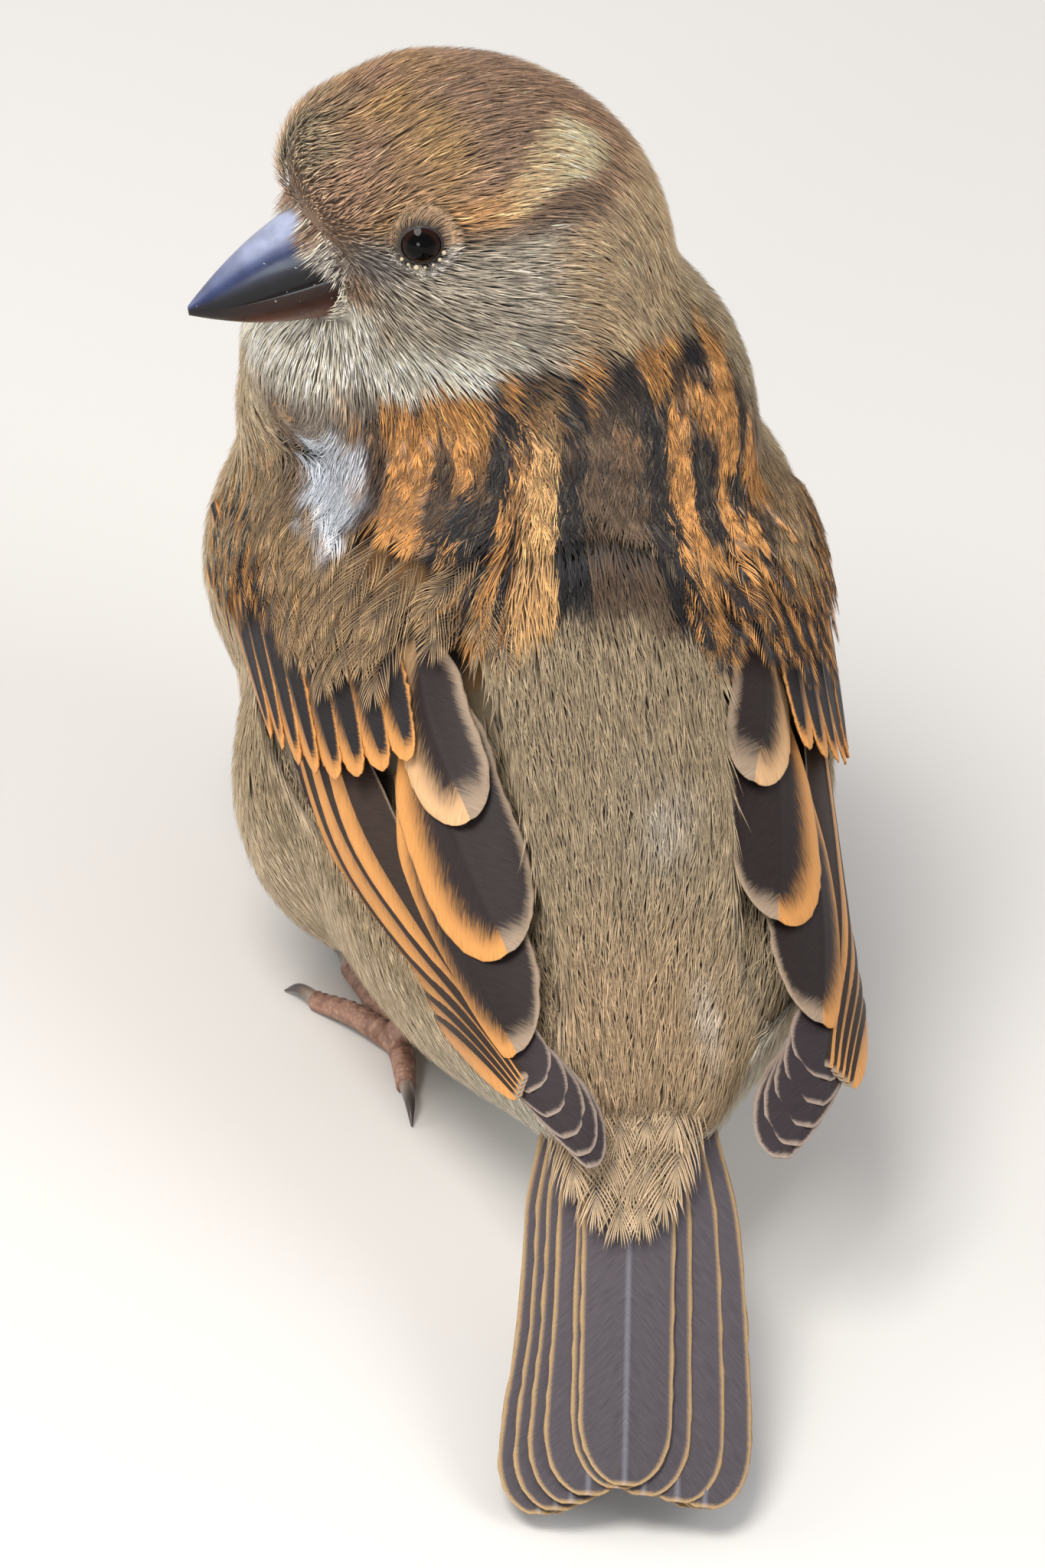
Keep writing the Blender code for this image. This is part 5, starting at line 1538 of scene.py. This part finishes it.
def limb(points, radii, rings, around, scutes=0.0, pitch=1.0):
    """Rings of a round limb along a smooth curve, its upper side stepped into scutes of that pitch."""
    t = np.linspace(0, 1, rings)
    centre = along_guide(np.array(points, float), t)
    radius = along_guide(np.array(radii, float)[:, None], t)[:, 0]
    ahead = unit(np.gradient(centre, axis=0))
    across = unit(np.cross(ahead, (0, 0, 1.0)))
    up = np.cross(across, ahead)
    walked = np.concatenate([[0], np.cumsum(np.linalg.norm(np.diff(centre, axis=0), axis=1))])
    angle = np.linspace(0, 2 * math.pi, around, endpoint=False)
    step = 1 - (walked / pitch) % 1.0
    raised = 1 + scutes * (step[:, None] - 0.5) * np.clip(np.sin(angle) + 0.4, 0, 1)
    ring = across[:, None] * np.cos(angle)[:, None] + up[:, None] * np.sin(angle)[:, None]
    made = centre[:, None] + radius[:, None, None] * raised[..., None] * ring
    made[..., 2] = np.maximum(made[..., 2], LOWEST)
    return made


for side, sign in (("left", 1), ("right", -1)):
    foot, heel = FOOT * (sign, 1, 1), HEEL * (sign, 1, 1)
    shank = [heel, (foot + heel) / 2 + (0, 0.3, 0), foot + (0, 0.2, 0.2)]
    parts = [limb(shank, SHANK_RADII, LIMB_RINGS, LIMB_AROUND, SHANK_SCUTE, SHANK_PITCH)]
    claws = []
    for toe, (degrees, length, claw) in TOES.items():
        turn = math.radians(degrees)
        ahead = np.array([sign * math.sin(turn), -math.cos(turn), 0.0])
        start = np.array([foot[0], foot[1], TOE_RADIUS])
        end = start + ahead * length + (0, 0, -0.28)
        parts.append(limb([start, start + ahead * length * 0.5 + (0, 0, 0.4), end],
                          [TOE_RADIUS * 1.15, TOE_RADIUS, TOE_RADIUS * 0.8], LIMB_RINGS, LIMB_AROUND,
                          TOE_SCUTE, TOE_PITCH))
        root = end - ahead * 0.5
        curve = [root + (0, 0, 0.1), root + ahead * (claw * 0.55 + 0.4) + (0, 0, 0.34),
                 root + ahead * (claw + 0.55) + (0, 0, -0.60)]
        claws.append((toe, limb(curve, CLAW_RADII, CLAW_RINGS, CLAW_AROUND)))
    made, faces, tints, start = [], [], [], 0
    for rings in parts:
        points, triangles = closed_tube(rings)
        made.append(points)
        faces.append(triangles + start)
        tints.append(mix(LEG_SHADE, LEG_SKIN, 0.5 + 0.5 * soft_noise(points, 0.8, 71)))
        start += len(points)
    leg = add_piece(f"foot_{side}", *map(np.concatenate, (made, faces)), leg_material, np.concatenate(tints))
    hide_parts(f"leg_{side}")
    for toe, rings in claws:
        points, triangles = closed_tube(rings)
        tip = np.concatenate([np.repeat(np.linspace(0, 1, len(rings)), rings.shape[1]), [0, 1]])
        tint = mix(CLAW_PALE, CLAW_DARK, ramp(tip, 0.0, 0.6))
        claw = add_piece(f"horn_{side}_{toe}", points, triangles, claw_material, tint)
        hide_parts(f"claw_{side}_{toe}")

# ---------------------------------------------------------------------------------------------
# Stage, light and camera: a plain pale floor, soft light from above, and the view from behind, above
# and to the left of the tail.
# ---------------------------------------------------------------------------------------------
floor_mesh = bpy.data.meshes.new("floor")
rim = bmesh.new()
bmesh.ops.create_circle(rim, cap_ends=True, segments=64, radius=3.0)
rim.to_mesh(floor_mesh)
rim.free()
floor = bpy.data.objects.new("floor", floor_mesh)
bpy.context.scene.collection.objects.link(floor)
# Paper: pale and matt, with no pattern.
FLOOR_PALE = colour("#CECBC7")
floor_material, _, _ = new_material("studio_paper", Base_Color=(*FLOOR_PALE, 1.0), Roughness=0.9)
floor_mesh.materials.append(floor_material)


def area_light(name, place, size, watts, aim=(0, 0, 0.04), tint=(1, 1, 1)):
    """A round light of that size in metres, turned to the aim."""
    light = bpy.data.lights.new(name, "AREA")
    light.shape = "DISK"
    light.size = size
    light.energy = watts
    light.color = tint
    obj = bpy.data.objects.new(name, light)
    bpy.context.scene.collection.objects.link(obj)
    obj.location = place
    obj.rotation_euler = (Vector(aim) - Vector(place)).to_track_quat("-Z", "Y").to_euler()
    return obj


area_light("key", (0.35, 0.25, 0.75), size=0.45, watts=6.5, tint=(1.0, 0.97, 0.93))
fill = area_light("fill", (-0.6, 0.5, 0.5), size=0.6, watts=4.0, tint=(0.93, 0.96, 1.0))
fill.visible_glossy = False
side = area_light("side", (0.75, -0.15, 0.28), size=0.5, watts=2.4, tint=(1.0, 0.98, 0.95))
side.visible_glossy = False
world = bpy.data.worlds.new("soft_room")
bpy.context.scene.world = world
world.use_nodes = True
world.node_tree.nodes["Background"].inputs["Color"].default_value = (0.86, 0.86, 0.88, 1)
world.node_tree.nodes["Background"].inputs["Strength"].default_value = 0.66
bpy.context.scene.view_settings.view_transform = "Standard"

CAMERA_TURN = math.radians(15.0)     # from straight behind the tail, towards the bird's left
CAMERA_RISE = math.radians(30.0)
CAMERA_ROLL = math.radians(6.0)
CAMERA_AWAY = 1600.0
FRAME_HEIGHT = 133.0                 # what the frame takes in from top to bottom, at the bird
SENSOR_HEIGHT = 36.0
TARGET_RIGHT, TARGET_UP = -4.2, 22.7
towards = np.array([math.sin(CAMERA_TURN) * math.cos(CAMERA_RISE),
                    math.cos(CAMERA_TURN) * math.cos(CAMERA_RISE), math.sin(CAMERA_RISE)])
level_right = np.array([-math.cos(CAMERA_TURN), math.sin(CAMERA_TURN), 0.0])
level_up = np.cross(towards, level_right)
right = level_right * math.cos(CAMERA_ROLL) + level_up * math.sin(CAMERA_ROLL)
top = level_up * math.cos(CAMERA_ROLL) - level_right * math.sin(CAMERA_ROLL)
target = level_right * TARGET_RIGHT + level_up * TARGET_UP
lens = bpy.data.cameras.new("camera")
lens.sensor_fit = "VERTICAL"
lens.sensor_height = SENSOR_HEIGHT
lens.lens = SENSOR_HEIGHT * CAMERA_AWAY / FRAME_HEIGHT
lens.clip_end = 20.0
camera = bpy.data.objects.new("camera", lens)
bpy.context.scene.collection.objects.link(camera)
where = (target + towards * CAMERA_AWAY + OFFSET) * MM
camera.matrix_world = Matrix([[*row, 0.0] for row in zip(right, top, towards)] + [[0, 0, 0, 1]])
camera.matrix_world.translation = Vector(where)
bpy.context.scene.camera = camera
# The glint in the left eye: a light where its upper part mirrors the camera's line of sight.
glint = unit(unit(in_head(EYE_OUT) - HEAD_CENTRE) + 0.26 * top - 0.16 * right)
mirrored = 2 * (glint @ towards) * glint - towards
area_light("catch_light", tuple(mirrored * 0.6 + (0, 0, 0.06)), size=0.20, watts=1.2,
           aim=(0.01, -0.02, 0.07), tint=(0.86, 0.93, 1.0))
